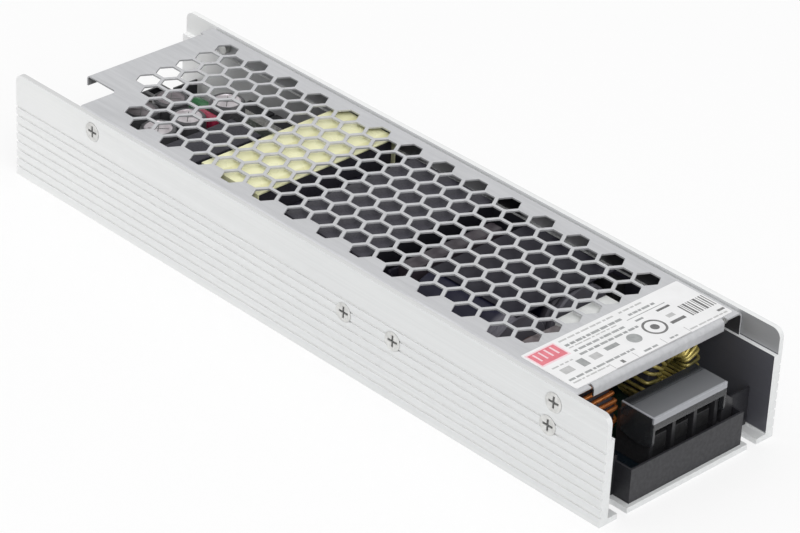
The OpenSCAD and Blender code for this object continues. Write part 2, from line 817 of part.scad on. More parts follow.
module fuse_clips()
    color("lightgray")
    for (y = [fuse_y + 0.6, fuse_y + fuse_l - 0.6 - clip_w])
        difference() {
            block([fuse_x - fuse_r - 0.5, fuse_x + fuse_r + 0.5], [y, y + clip_w], [board_top, fuse_z + 1]);
            translate([fuse_x, 0, fuse_z]) bar_y(fuse_r, y - 1, y + clip_w + 1);
            block([fuse_x - fuse_r, fuse_x + fuse_r], [y - 1, y + clip_w + 1], [fuse_z, fuse_z + 3]);
        }

// ---------- input power stage ----------

bridge_l = 22;
bridge_t = 4.2;
bridge_h = 13;
bridge_lead = 4;
bridge_pitch = 5.1;
bridge_x = bulk_x1 - 1 - bridge_l;

module bridge_rectifier()
    color([0.1, 0.1, 0.11]) {
        difference() {
            block([bridge_x, bridge_x + bridge_l], [inner_y - bridge_t, inner_y],
                  [board_top + bridge_lead, board_top + bridge_lead + bridge_h]);
            translate([bridge_x + bridge_l / 2, 0, board_top + bridge_lead + 8]) bar_y(1.7, 0, side_y);
        }
        for (i = [0 : 3])
            translate([bridge_x + 3 + i * bridge_pitch, inner_y - bridge_t + 1, board_top])
                cube([1, 0.8, bridge_lead]);
    }

// Capsule of a can capacitor standing on z = 0, with the crimp near its foot
module can(d, h)
    rotate_extrude()
        polygon([[0, 0], [d / 2 - 0.6, 0], [d / 2, 0.6], [d / 2, 1.6], [d / 2 - 0.5, 2], [d / 2 - 0.5, 2.6],
                 [d / 2, 3], [d / 2, h - 0.5], [d / 2 - 0.5, h], [0, h]]);

module bulk_capacitors()
    color([0.13, 0.13, 0.16])
    for (side = [-1, 1])
        translate([bulk_x1, side * bulk_y, board_top + bulk_d / 2]) rotate([0, -90, 0]) can(bulk_d, bulk_l);

// An insulating sheet lies on both cans, from the near one's crest to the far devices
bulk_sheet_t = 0.4;
bulk_sheet_seat = 0.1;
bulk_sheet_over = 0.8;
bulk_sheet_far = inner_y - package_t - boost_side_gap;

module bulk_sheet()
    color([0.14, 0.14, 0.17])
    translate([0, 0, board_top + bulk_d + bulk_sheet_seat])
        block([bulk_x0, bulk_x1], [-bulk_y - bulk_sheet_over, bulk_sheet_far], [0, bulk_sheet_t]);

bypass_near_over = 4;
bypass_far_over = 7;
bypass_top_gap = 3.3;

module bypass_capacitor()
    color([0.4, 0.25, 0.22])
    block([bypass_x0, bypass_x1], [-bulk_y - bypass_near_over, bulk_y + bypass_far_over],
          [board_top, under_cover - bypass_top_gap]);

// Ferrite frame with two windows, drawn in the YZ plane, standing on z = 0 and centred on y = 0
module core_section(w, h, leg)
    difference() {
        translate([-w / 2, 0]) square([w, h]);
        for (side = [-1, 1])
            translate([side * (w / 4 - leg / 4) - (w / 2 - 1.5 * leg) / 2, leg * 0.75])
                square([w / 2 - 1.5 * leg, h - 1.5 * leg]);
    }

// Winding block that fills the windows and stands out of the core by over at both ends
module core_winding(w, h, leg, x0, x1, over, gap)
    difference() {
        block([x0 - over, x1 + over], [-w / 2 + leg + gap, w / 2 - leg - gap],
              [leg * 0.75 + gap, h - leg * 0.75 - gap]);
        block([x0 - gap, x1 + gap], [-leg / 2 - gap, leg / 2 + gap], [0, h]);
    }

boost_leg = 9;
boost_overhang = 0.8;

module boost_choke_core()
    color([0.2, 0.2, 0.23])
    translate([0, 0, board_top])
        along_x(boost_x0 + boost_overhang, boost_x1 - boost_overhang)
            core_section(boost_w, boost_h, boost_leg);

module boost_choke_winding()
    color([0.17, 0.16, 0.2])
    translate([0, 0, board_top])
        core_winding(boost_w, boost_h, boost_leg, boost_x0 + boost_overhang, boost_x1 - boost_overhang,
                     boost_overhang - 0.4, 0.2);

// Body and three legs of a flat power package whose back lies at y = 0, standing on z = 0
module power_package(h, lead) {
    translate([-5, 0, lead]) cube([10, package_t, h]);
    for (i = [-1 : 1]) translate([i * 2.54 - 0.4, package_t - 1.6, 0]) cube([0.8, 0.6, lead + eps]);
}

module switch_transistors()
    color([0.1, 0.1, 0.11])
    difference() {
        for (x = device_x) {
            translate([x, -inner_y, board_top])
                power_package(device_z - 3.4 - board_top - package_lead, package_lead);
            block([x - 5, x + 5], [-inner_y, -inner_y + tab_t], [device_z - 3.5, device_z + 3.2]);
        }
        switch_places() translate([0, 0, -wall_t - 3]) cylinder(r = screw_r, h = 5);
    }

// ---------- transformer ----------

transformer_mid_y = transformer_y0 + transformer_w / 2;
core_leg = 10;

gate_w = 17;
gate_h = 12.5;
gate_y0 = -standoff_y + board_head_r + 6.5;
resonant_h = 14;
resonant_gap = 3;
resonant_y0 = gate_y0 + gate_w + resonant_gap;
resonant_y1 = standoff_y - board_head_r - 1.5;

module gate_transformer()
    color([0.1, 0.12, 0.3])
    block([gate_x0, gate_x1], [gate_y0, gate_y0 + gate_w], [board_top, board_top + gate_h]);

module resonant_capacitor()
    color([0.16, 0.17, 0.2])
    block([gate_x0 + 0.5, gate_x1], [resonant_y0, resonant_y1], [board_top, board_top + resonant_h]);

module transformer_core()
    color([0.17, 0.17, 0.18])
    translate([0, transformer_mid_y, board_top + tape_t])
        along_x(transformer_x0 + 1, transformer_x1 - 1)
            core_section(transformer_w - 2 * tape_t, transformer_h - 2 * tape_t, core_leg);

module transformer_winding()
    color([0.8, 0.76, 0.42])
    translate([0, transformer_mid_y, board_top + tape_t])
        core_winding(transformer_w - 2 * tape_t, transformer_h - 2 * tape_t, core_leg,
                     transformer_x0 + 1, transformer_x1 - 1, 0.8, 0.2);

module transformer_tape()
    color([0.9, 0.88, 0.62])
    along_x(transformer_x0, transformer_x1)
        translate([transformer_y0, board_top])
            difference() {
                square([transformer_w, transformer_h]);
                translate([tape_t, tape_t]) square([transformer_w - 2 * tape_t, transformer_h - 2 * tape_t]);
            }

// ---------- output stage ----------

bar_h = 5.2;
bar_over = 4;
bar_y0 = inner_y - package_t - bar_t;

// A bar with threaded ends presses the two rectifiers against the far wall
module rectifier_bar()
    color("gainsboro")
    difference() {
        block([rectifier_x[0] - bar_over, rectifier_x[1] + bar_over], [bar_y0, bar_y0 + bar_t],
              [rectifier_z - bar_h / 2, rectifier_z + bar_h / 2]);
        rectifier_places()
            translate([0, 0, -wall_t - package_t - bar_t - 1]) cylinder(r = screw_r, h = bar_t + 2);
    }

package_inset = 7.6;

module output_rectifiers()
    color([0.1, 0.1, 0.11])
    for (x = [rectifier_x[0] + package_inset, rectifier_x[1] - package_inset])
        translate([x, inner_y, board_top]) mirror([0, 1, 0])
            power_package(rectifier_z + bar_h / 2 - board_top - package_lead, package_lead);

// Two rows of cans; the front row holds a third can beyond the red film capacitor
film_t = 2.9;
film_gap = 0.5;
cans_inset = 8.2;
cans_step = out_cap_d + 0.4;
rear_row_shift = 3.2;
can_y = -inner_y + cans_inset + out_cap_d / 2;
red_film_y0 = can_y + cans_step + out_cap_d / 2 + film_gap;
far_can_y = red_film_y0 + film_t + film_gap + out_cap_d / 2;
can_places = [
    [front_cans_x, can_y], [front_cans_x, can_y + cans_step], [front_cans_x, far_can_y],
    [rear_cans_x, can_y + rear_row_shift], [rear_cans_x, can_y + rear_row_shift + cans_step]
];

module output_capacitors()
    color([0.62, 0.63, 0.66])
    for (p = can_places) translate([p[0], p[1], board_top]) can(out_cap_d, out_cap_h);

choke_leg = 6;
choke_overhang = 0.6;
choke_y = -inner_y + 7.2 + choke_w / 2;

module output_choke_core()
    color([0.2, 0.21, 0.21])
    translate([0, choke_y, board_top])
        along_x(choke_x0 + choke_overhang, choke_x1 - choke_overhang)
            core_section(choke_w, choke_h, choke_leg);

module output_choke_winding()
    color([0.66, 0.34, 0.16])
    translate([0, choke_y, board_top])
        core_winding(choke_w, choke_h, choke_leg, choke_x0 + choke_overhang, choke_x1 - choke_overhang,
                     choke_overhang - 0.2, 0.2);

green_film_l = 8;
green_film_t = 3.5;
green_film_h = 15.5;
green_film_x1 = rear_cans_x + out_cap_d / 2 - 0.5;
green_film_y0 = can_y + rear_row_shift + cans_step + out_cap_d / 2 + 3.9;

module green_film_capacitor()
    color([0.2, 0.42, 0.26])
    block([green_film_x1 - green_film_l, green_film_x1], [green_film_y0, green_film_y0 + green_film_t],
          [board_top, board_top + green_film_h]);

red_film_l = 7.5;
red_film_h = 18.5;

module red_film_capacitor()
    color([0.55, 0.12, 0.2])
    block([front_cans_x - red_film_l / 2, front_cans_x + red_film_l / 2],
          [red_film_y0, red_film_y0 + film_t], [board_top, board_top + red_film_h]);

// ---------- control side ----------

card_l = 40;
card_t = 1.2;
card_h = 13;
card_foot = 2.5;
card_y = -inner_y + 2.2;
card_x = [transformer_x0 - 6 - card_l, transformer_x0 - 6];

module control_card()
    color([0.13, 0.33, 0.2])
    block(card_x, [card_y, card_y + card_t], [board_top + card_foot, board_top + card_foot + card_h]);

module card_header()
    color([0.1, 0.1, 0.11])
    block([card_x[0] + 6, card_x[1] - 6], [card_y - 0.7, card_y + card_t + 0.7],
          [board_top, board_top + card_foot]);

opto_l = 6.4;
opto_t = 2.2;
opto_h = 4.5;
opto_pitch = 10;

module optocouplers()
    color([0.93, 0.92, 0.88])
    for (i = [0, 1])
        translate([card_x[0] + 8 + i * opto_pitch, card_y + card_t, board_top + card_foot + 2])
            cube([opto_l, opto_t, opto_h]);

header_y = -inner_y + 4.2;
header_poles = 4;
header_pitch = 2;
header_h = 7;
header_wall = 0.8;
header_l = (header_poles + 1) * header_pitch;

module signal_header()
    color([0.93, 0.92, 0.88])
    translate([header_x - header_t / 2, header_y, board_top])
        difference() {
            cube([header_t, header_l, header_h]);
            translate([header_wall, header_wall, 1.5])
                cube([header_t - 2 * header_wall, header_l - 2 * header_wall, header_h]);
        }

module header_pins()
    color("khaki")
    for (i = [1 : header_poles])
        translate([header_x - 0.3, header_y + i * header_pitch - 0.3, board_top + 1.5]) cube([0.6, 0.6, 4.5]);

lens_r = 1.5;
lens_rim = 0.4;
lens_h = 4;
lens_x = header_x - 8;
lens_y = -out_w / 2 - lens_r - lens_rim - 1;

module indicator_light()
    color([0.25, 0.7, 0.35])
    translate([lens_x, lens_y, board_top])
        rotate_extrude()
            intersection() {
                union() {
                    square([lens_r + lens_rim, 1]);
                    square([lens_r, lens_h]);
                    translate([0, lens_h]) circle(r = lens_r);
                }
                square([2 * lens_r, 2 * lens_h]);
            }

chassis();
top_cover();
cover_screws();
device_screws();
device_nuts();
earth_screw();
earth_lug();
rating_label();
insulation_tray();
circuit_board();
board_standoffs();
board_screws();
input_terminal_block();
input_terminal_plates();
input_terminal_screws();
terminal_cover();
output_terminal_block();
output_terminal_plates();
output_terminal_screws();
line_choke_core();
line_choke_winding();
filter_choke_core();
filter_choke_winding();
line_capacitor();
filter_capacitor();
surge_varistor();
inrush_thermistor();
line_fuse();
fuse_clips();
bridge_rectifier();
bulk_capacitors();
bulk_sheet();
bypass_capacitor();
boost_choke_core();
boost_choke_winding();
switch_transistors();
gate_transformer();
resonant_capacitor();
transformer_core();
transformer_winding();
transformer_tape();
rectifier_bar();
output_rectifiers();
output_capacitors();
output_choke_core();
output_choke_winding();
green_film_capacitor();
red_film_capacitor();
control_card();
card_header();
optocouplers();
signal_header();
header_pins();
indicator_light();
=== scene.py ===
import math
import random

import bmesh
import bpy
from mathutils import Matrix, Vector


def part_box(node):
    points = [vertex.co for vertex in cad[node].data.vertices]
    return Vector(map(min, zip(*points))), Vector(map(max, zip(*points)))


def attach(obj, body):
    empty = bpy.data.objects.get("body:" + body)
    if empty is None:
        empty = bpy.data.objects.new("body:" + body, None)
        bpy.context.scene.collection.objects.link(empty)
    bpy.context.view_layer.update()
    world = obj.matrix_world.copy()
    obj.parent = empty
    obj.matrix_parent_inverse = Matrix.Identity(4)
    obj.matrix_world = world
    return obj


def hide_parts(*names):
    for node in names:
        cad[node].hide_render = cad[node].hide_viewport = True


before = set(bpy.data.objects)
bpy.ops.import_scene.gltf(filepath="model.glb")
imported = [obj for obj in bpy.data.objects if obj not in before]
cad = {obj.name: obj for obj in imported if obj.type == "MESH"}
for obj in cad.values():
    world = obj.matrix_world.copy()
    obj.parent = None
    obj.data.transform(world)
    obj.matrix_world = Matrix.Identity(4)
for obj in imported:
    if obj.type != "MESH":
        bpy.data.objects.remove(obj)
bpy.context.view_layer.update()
MM = 0.001
FIXED = "supply"
FINE_DEPTH = 0.00002
COATING_DEPTH = 0.0001


def corners_mm(node):
    """A CAD node's lowest and highest corners in millimetres."""
    low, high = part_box(node)
    return [v / MM for v in low], [v / MM for v in high]


# ---------------------------------------------------------------- finishes

def new_finish(name, colour, roughness, metallic=0.0):
    """A material with its shader's own values set, and its nodes for further work."""
    finish = bpy.data.materials.new(name)
    finish.use_nodes = True
    shader = finish.node_tree.nodes["Principled BSDF"]
    shader.inputs["Base Color"].default_value = (*colour, 1)
    shader.inputs["Roughness"].default_value = roughness
    shader.inputs["Metallic"].default_value = metallic
    return finish, finish.node_tree.nodes, finish.node_tree.links, shader


def stretched_noise(nodes, links, scale, detail=3.0, roughness=0.55):
    """Noise on the object's own coordinates, with a scale for each direction."""
    source = nodes.new("ShaderNodeTexCoord")
    mapping = nodes.new("ShaderNodeMapping")
    mapping.inputs["Scale"].default_value = scale
    noise = nodes.new("ShaderNodeTexNoise")
    noise.inputs["Scale"].default_value = 1.0
    noise.inputs["Detail"].default_value = detail
    noise.inputs["Roughness"].default_value = roughness
    links.new(source.outputs["Object"], mapping.inputs["Vector"])
    links.new(mapping.outputs["Vector"], noise.inputs["Vector"])
    return noise.outputs["Fac"]


def spread(nodes, links, value, low, high, source=(0.3, 0.7)):
    """Maps a value to a range."""
    ranged = nodes.new("ShaderNodeMapRange")
    ranged.inputs["From Min"].default_value = source[0]
    ranged.inputs["From Max"].default_value = source[1]
    ranged.inputs["To Min"].default_value = low
    ranged.inputs["To Max"].default_value = high
    links.new(value, ranged.inputs["Value"])
    return ranged.outputs["Result"]


def blend_colours(nodes, links, value, first, second):
    """Two colours, or a colour and a socket, mixed by a value."""
    mix = nodes.new("ShaderNodeMix")
    mix.data_type = "RGBA"
    links.new(value, mix.inputs["Factor"])
    for socket, colour in (("A", first), ("B", second)):
        if isinstance(colour, tuple):
            mix.inputs[socket].default_value = (*colour, 1)
        else:
            links.new(colour, mix.inputs[socket])
    return mix.outputs["Result"]


def add_bump(nodes, links, shader, height, strength, distance):
    """Relief from a height, with its depth in metres."""
    bump = nodes.new("ShaderNodeBump")
    bump.inputs["Strength"].default_value = strength
    bump.inputs["Distance"].default_value = distance
    links.new(height, bump.inputs["Height"])
    links.new(bump.outputs["Normal"], shader.inputs["Normal"])


def grained(name, dark, light, scale, roughness, metallic=0.0, bump=0.2, depth=FINE_DEPTH, shine=0.5):
    """A finish whose colour, gloss and surface vary with one grain, as fine in all directions."""
    finish, nodes, links, shader = new_finish(name, light, roughness, metallic)
    shader.inputs["Specular IOR Level"].default_value = shine
    grain = stretched_noise(nodes, links, (scale, scale, scale))
    colour = blend_colours(nodes, links, spread(nodes, links, grain, 0, 1), dark, light)
    links.new(colour, shader.inputs["Base Color"])
    links.new(spread(nodes, links, grain, roughness + 0.06, roughness - 0.06), shader.inputs["Roughness"])
    add_bump(nodes, links, shader, grain, bump, depth)
    return finish


def arithmetic(nodes, links, operation, *values):
    """One step of arithmetic on sockets."""
    step = nodes.new("ShaderNodeMath")
    step.operation = operation
    for index, value in enumerate(values):
        links.new(value, step.inputs[index])
    return step.outputs["Value"]


def product(nodes, links, first, second):
    """Two values multiplied."""
    return arithmetic(nodes, links, "MULTIPLY", first, second)


def greater(nodes, links, first, second):
    """The greater of two values."""
    return arithmetic(nodes, links, "MAXIMUM", first, second)


def unsigned(nodes, links, value):
    """A value without its sign."""
    return arithmetic(nodes, links, "ABSOLUTE", value)


def along_axes(nodes, links, kind="Object"):
    """One socket for each axis: the object's own coordinates, or with kind Normal the way a face looks."""
    source = nodes.new("ShaderNodeTexCoord")
    split = nodes.new("ShaderNodeSeparateXYZ")
    links.new(source.outputs[kind], split.inputs["Vector"])
    return split.outputs["X"], split.outputs["Y"], split.outputs["Z"]


def wall_screw():
    """Pale zinc, with painted shade down in the cross of a screw that is flush with a wall."""
    finish, nodes, links, shader = new_finish("flush_zinc_screw", (0.74, 0.74, 0.725), 0.36, 0.55)
    grain = stretched_noise(nodes, links, (700, 700, 700))
    from_middle = unsigned(nodes, links, along_axes(nodes, links)[1])
    # painted shade: the cross recess is darkened by its depth below the head's face
    cross = product(nodes, links, spread(nodes, links, from_middle, 1, 0, (0.0304, 0.0308)),
                    spread(nodes, links, from_middle, 0, 1, (0.0294, 0.0296)))
    head = blend_colours(nodes, links, spread(nodes, links, grain, 0, 1), (0.58, 0.58, 0.565), (0.76, 0.76, 0.745))
    links.new(blend_colours(nodes, links, cross, head, (0.17, 0.17, 0.17)), shader.inputs["Base Color"])
    links.new(spread(nodes, links, grain, 0.42, 0.3), shader.inputs["Roughness"])
    add_bump(nodes, links, shader, grain, 0.15, FINE_DEPTH)
    return finish


def toned_along(nodes, links, x, front, rear, tones):
    """A colour that changes along the channel between two places in metres, from (share of the way, colour)."""
    shade = nodes.new("ShaderNodeValToRGB")
    stops = shade.color_ramp.elements
    for share, tone in tones:
        if share == 0:
            stop = stops[0]
        elif share == 1:
            stop = stops[len(stops) - 1]
        else:
            stop = stops.new(share)
        stop.position, stop.color = share, (*tone, 1)
    links.new(spread(nodes, links, x, 1, 0, (rear, front)), shade.inputs["Fac"])
    return shade.outputs["Color"]


# Painted shade on the walls' inner faces, turning to painted light at the rear: (share of the way from the front to
# the rear, colour).
INNER_FRONT, INNER_REAR = 0.0775, -0.1
INNER_SHADE_TONES = ((0, (0.095, 0.096, 0.112)), (0.055, (0.03, 0.03, 0.045)), (0.56, (0.06, 0.06, 0.075)),
               (0.7, (0.17, 0.17, 0.18)), (0.93, (0.6, 0.6, 0.61)), (1, (0.93, 0.93, 0.93)))

# Where the painted light and shade begin and end on the channel, in metres along x, out from the middle along y, or
# up.
REAR_LIGHT_X = (-0.11, 0.03)
GROOVE_MOUTH_Y = (0.0307, 0.03095)
GROOVE_BOTTOM_Y = (0.0300, 0.0301)
GROOVE_TOP_Z = (0.0225, 0.0228)
GROOVE_END_X = (0.1094, 0.1097)
NEAR_RIM_Y = (-0.0285, -0.0275)
NEAR_RIM_Z = (0.0300, 0.0305)
INNER_FACE_Y = (0.0297, 0.0299)
RIM_FOOT_Z = (0.0245, 0.0247)
OPEN_RIM_X = (0.096, 0.0975)
FLOOR_Z = (0.0019, 0.0022)


def extruded_aluminium():
    """Pale matte aluminium with fine lines along the channel; painted shade on the inner faces and the near rim's
    top, painted light toward the rear and in the outer grooves.
    """
    finish, nodes, links, shader = new_finish("anodised_extrusion", (0.76, 0.77, 0.77), 0.5, 0.25)
    lines = stretched_noise(nodes, links, (14, 1500, 1500), detail=2.0)
    clouds = stretched_noise(nodes, links, (30, 60, 60), detail=2.0)
    x, y, z = along_axes(nodes, links)
    from_middle = unsigned(nodes, links, y)
    looks_y, looks_z = along_axes(nodes, links, "Normal")[1:]

    base = blend_colours(nodes, links, spread(nodes, links, lines, 0, 1), (0.735, 0.745, 0.745), (0.78, 0.79, 0.79))
    base = blend_colours(nodes, links, spread(nodes, links, clouds, 0, 0.35), base, (0.70, 0.71, 0.715))
    # painted light: the base is lighter toward the rear
    base = blend_colours(nodes, links, spread(nodes, links, x, 0.7, 0, REAR_LIGHT_X), base, (0.87, 0.875, 0.87))

    # painted light in the outer grooves, paler than their own shade leaves them
    painted_groove_light = product(nodes, links, spread(nodes, links, from_middle, 1, 0, GROOVE_MOUTH_Y),
                     spread(nodes, links, from_middle, 0, 1, GROOVE_BOTTOM_Y))
    painted_groove_light = product(nodes, links, painted_groove_light, spread(nodes, links, z, 1, 0, GROOVE_TOP_Z))
    painted_groove_light = product(nodes, links, painted_groove_light, spread(nodes, links, unsigned(nodes, links, x), 1, 0, GROOVE_END_X))
    base = blend_colours(nodes, links, painted_groove_light, base, (0.82, 0.825, 0.825))

    # painted shade on the up-facing top of the near rim
    painted_rim_shade = product(nodes, links, spread(nodes, links, y, 1, 0, NEAR_RIM_Y),
                       spread(nodes, links, z, 0, 1, NEAR_RIM_Z))
    painted_rim_shade = product(nodes, links, painted_rim_shade, spread(nodes, links, looks_z, 0, 1, (0.5, 0.8)))
    base = blend_colours(nodes, links, painted_rim_shade, base, (0.6, 0.605, 0.605))

    # painted shade on the inner faces below the rim foot, and above it at the open front, toned along the channel
    inner = product(nodes, links, spread(nodes, links, from_middle, 1, 0, INNER_FACE_Y),
                    spread(nodes, links, unsigned(nodes, links, looks_y), 0, 1, (0.5, 0.7)))
    open_rim = product(nodes, links, spread(nodes, links, z, 0, 1, RIM_FOOT_Z),
                       spread(nodes, links, x, 0, 0.62, OPEN_RIM_X))
    below_rim = spread(nodes, links, z, 1, 0, RIM_FOOT_Z)
    inner = product(nodes, links, inner, greater(nodes, links, below_rim, open_rim))
    inner = product(nodes, links, inner, spread(nodes, links, z, 0, 1, FLOOR_Z))
    shaded = toned_along(nodes, links, x, INNER_FRONT, INNER_REAR, INNER_SHADE_TONES)
    base = blend_colours(nodes, links, inner, base, shaded)

    links.new(base, shader.inputs["Base Color"])
    links.new(spread(nodes, links, lines, 0.56, 0.46), shader.inputs["Roughness"])
    add_bump(nodes, links, shader, lines, 0.12, FINE_DEPTH)
    return finish


# Painted shade along the cover's side flanges: (x in metres, level).
FLANGE_SHADE_TONES = ((0.07, 0.05), (0.053, 0.05), (0.047, 0.42), (0.026, 0.5), (0.0225, 0.015), (0.0135, 0.015),
                (0.010, 0.55), (-0.012, 0.55), (-0.0155, 0.14), (-0.0225, 0.14), (-0.03, 0.5), (-0.05, 0.34),
                (-0.08, 0.4), (-0.09, 0.5))


def rolled_cover():
    """Satin sheet, its side flanges in painted shade along their length, as dull and as dark as what they stand
    beside.
    """
    finish, nodes, links, shader = new_finish("rolled_cover_sheet", (0.525, 0.53, 0.545), 0.42, 0.3)
    grain = stretched_noise(nodes, links, (60, 700, 700))
    sheet = blend_colours(nodes, links, spread(nodes, links, grain, 0, 1),
                          (0.465, 0.47, 0.485), (0.525, 0.53, 0.545))
    x, _, z = along_axes(nodes, links)
    looks_y = unsigned(nodes, links, along_axes(nodes, links, "Normal")[1])
    # painted shade on the side flanges, toned along x
    flange = product(nodes, links, spread(nodes, links, looks_y, 0, 1, (0.6, 0.8)),
                     spread(nodes, links, z, 1, 0, (0.0293, 0.0297)))
    first, last = FLANGE_SHADE_TONES[0][0], FLANGE_SHADE_TONES[-1][0]
    tones = [((first - where) / (first - last), (tone, tone, tone * 1.03 + 0.004)) for where, tone in FLANGE_SHADE_TONES]
    colour = blend_colours(nodes, links, flange, sheet, toned_along(nodes, links, x, first, last, tones))
    links.new(colour, shader.inputs["Base Color"])
    links.new(spread(nodes, links, grain, 0.48, 0.36), shader.inputs["Roughness"])
    add_bump(nodes, links, shader, grain, 0.1, FINE_DEPTH)
    return finish


def clear_smoked():
    """Dark smoked clear plastic: frosted on top, with a painted highlight along the lip and the near edge."""
    finish, nodes, links, shader = new_finish("smoked_clear_plastic", (0.1, 0.105, 0.115), 0.1)
    x, y, z = along_axes(nodes, links)
    low, high = [[v * MM for v in corner] for corner in corners_mm("terminal_cover")]
    front = spread(nodes, links, x, 0, 1, (high[0] - 0.0007, high[0] - 0.0004))
    upper = spread(nodes, links, z, 0, 1, (high[2] - 0.0019, high[2] - 0.0016))
    plate = spread(nodes, links, z, 0, 1, (high[2] - 0.0004, high[2] - 0.0002))
    near = spread(nodes, links, y, 1, 0, (low[1] + 0.0003, low[1] + 0.0005))
    frosted = product(nodes, links, plate, spread(nodes, links, x, 0, 1, (0.0985, 0.1005)))
    # painted highlight: paler along the upper lip and the near edge of the plate
    pale = greater(nodes, links, product(nodes, links, front, upper), product(nodes, links, near, plate))
    colour = blend_colours(nodes, links, frosted, (0.09, 0.095, 0.105), (0.15, 0.155, 0.165))
    links.new(blend_colours(nodes, links, pale, colour, (0.40, 0.41, 0.44)), shader.inputs["Base Color"])
    links.new(spread(nodes, links, frosted, 0.12, 0.34, (0, 1)), shader.inputs["Roughness"])
    milky = greater(nodes, links, frosted, pale)
    links.new(spread(nodes, links, milky, 0.78, 0.2, (0, 1)), shader.inputs["Transmission Weight"])
    shader.inputs["IOR"].default_value = 1.45
    return finish


def board_mask():
    """Green solder mask over faint square tracks, with painted shade making it nearly black at the front end."""
    finish, nodes, links, shader = new_finish("solder_mask", (0.015, 0.06, 0.035), 0.32)
    source = nodes.new("ShaderNodeTexCoord")
    mapping = nodes.new("ShaderNodeMapping")
    mapping.inputs["Scale"].default_value = (260, 420, 1)
    tracks = nodes.new("ShaderNodeTexBrick")
    tracks.inputs["Scale"].default_value = 1.0
    tracks.inputs["Mortar Size"].default_value = 0.09
    tracks.inputs["Color1"].default_value = (0.012, 0.05, 0.026, 1)
    tracks.inputs["Color2"].default_value = (0.02, 0.075, 0.04, 1)
    tracks.inputs["Mortar"].default_value = (0.008, 0.035, 0.02, 1)
    links.new(source.outputs["Object"], mapping.inputs["Vector"])
    links.new(mapping.outputs["Vector"], tracks.inputs["Vector"])
    # painted shade toward the board's front end
    front = spread(nodes, links, along_axes(nodes, links)[0], 0, 0.9, (0.088, 0.094))
    tone = blend_colours(nodes, links, front, tracks.outputs["Color"], (0.004, 0.005, 0.012))
    links.new(tone, shader.inputs["Base Color"])
    grain = stretched_noise(nodes, links, (900, 900, 900))
    links.new(spread(nodes, links, grain, 0.26, 0.4), shader.inputs["Roughness"])
    add_bump(nodes, links, shader, tracks.outputs["Fac"], 0.15, FINE_DEPTH)
    return finish


def end_shaded_ferrite():
    """Pressed ferrite with painted shade, nearly black, on the faces that look along the channel."""
    finish, nodes, links, shader = new_finish("end_shaded_ferrite", (0.036, 0.034, 0.046), 0.6)
    grain = stretched_noise(nodes, links, (1800, 1800, 1800))
    looks_x = unsigned(nodes, links, along_axes(nodes, links, "Normal")[0])
    # painted shade on the faces that look along the channel
    end = spread(nodes, links, looks_x, 0, 1, (0.5, 0.8))
    body = blend_colours(nodes, links, spread(nodes, links, grain, 0, 1),
                         (0.022, 0.021, 0.03), (0.036, 0.034, 0.046))
    links.new(blend_colours(nodes, links, end, body, (0.001, 0.001, 0.005)), shader.inputs["Base Color"])
    links.new(spread(nodes, links, grain, 0.66, 0.54), shader.inputs["Roughness"])
    add_bump(nodes, links, shader, grain, 0.4, FINE_DEPTH)
    return finish


def shrunk_sleeve():
    """Dark shrunk sleeve, with painted light making it paler at the front end of the large cans."""
    finish, nodes, links, shader = new_finish("dark_shrunk_sleeve", (0.008, 0.008, 0.026), 0.45)
    shader.inputs["Specular IOR Level"].default_value = 0.2
    # painted light toward the front end of the large cans
    front = spread(nodes, links, along_axes(nodes, links)[0], 0, 1, (0.0565, 0.0585))
    grain = stretched_noise(nodes, links, (90, 250, 250))
    deep = blend_colours(nodes, links, spread(nodes, links, grain, 0, 1),
                         (0.004, 0.004, 0.016), (0.008, 0.008, 0.026))
    links.new(blend_colours(nodes, links, front, deep, (0.15, 0.145, 0.17)), shader.inputs["Base Color"])
    links.new(spread(nodes, links, grain, 0.5, 0.4), shader.inputs["Roughness"])
    add_bump(nodes, links, shader, grain, 0.3, FINE_DEPTH)
    return finish


def banded_tape(name, pale, deep, pitch):
    """Wound tape: glossy, with thin darker edges where one layer laps the next."""
    finish, nodes, links, shader = new_finish(name, pale, 0.28)
    source = nodes.new("ShaderNodeTexCoord")
    wave = nodes.new("ShaderNodeTexWave")
    wave.wave_type = "BANDS"
    wave.bands_direction = "X"
    wave.inputs["Scale"].default_value = pitch
    wave.inputs["Distortion"].default_value = 0.6
    wave.inputs["Detail"].default_value = 1.0
    links.new(source.outputs["Object"], wave.inputs["Vector"])
    edge = spread(nodes, links, wave.outputs["Fac"], 1, 0, (0.0, 0.12))
    clouds = stretched_noise(nodes, links, (120, 120, 120))
    colour = blend_colours(nodes, links, spread(nodes, links, clouds, 0, 0.5), pale, deep)
    links.new(blend_colours(nodes, links, edge, colour, deep), shader.inputs["Base Color"])
    links.new(spread(nodes, links, clouds, 0.22, 0.36), shader.inputs["Roughness"])
    add_bump(nodes, links, shader, wave.outputs["Fac"], 0.25, 0.00005)
    return finish


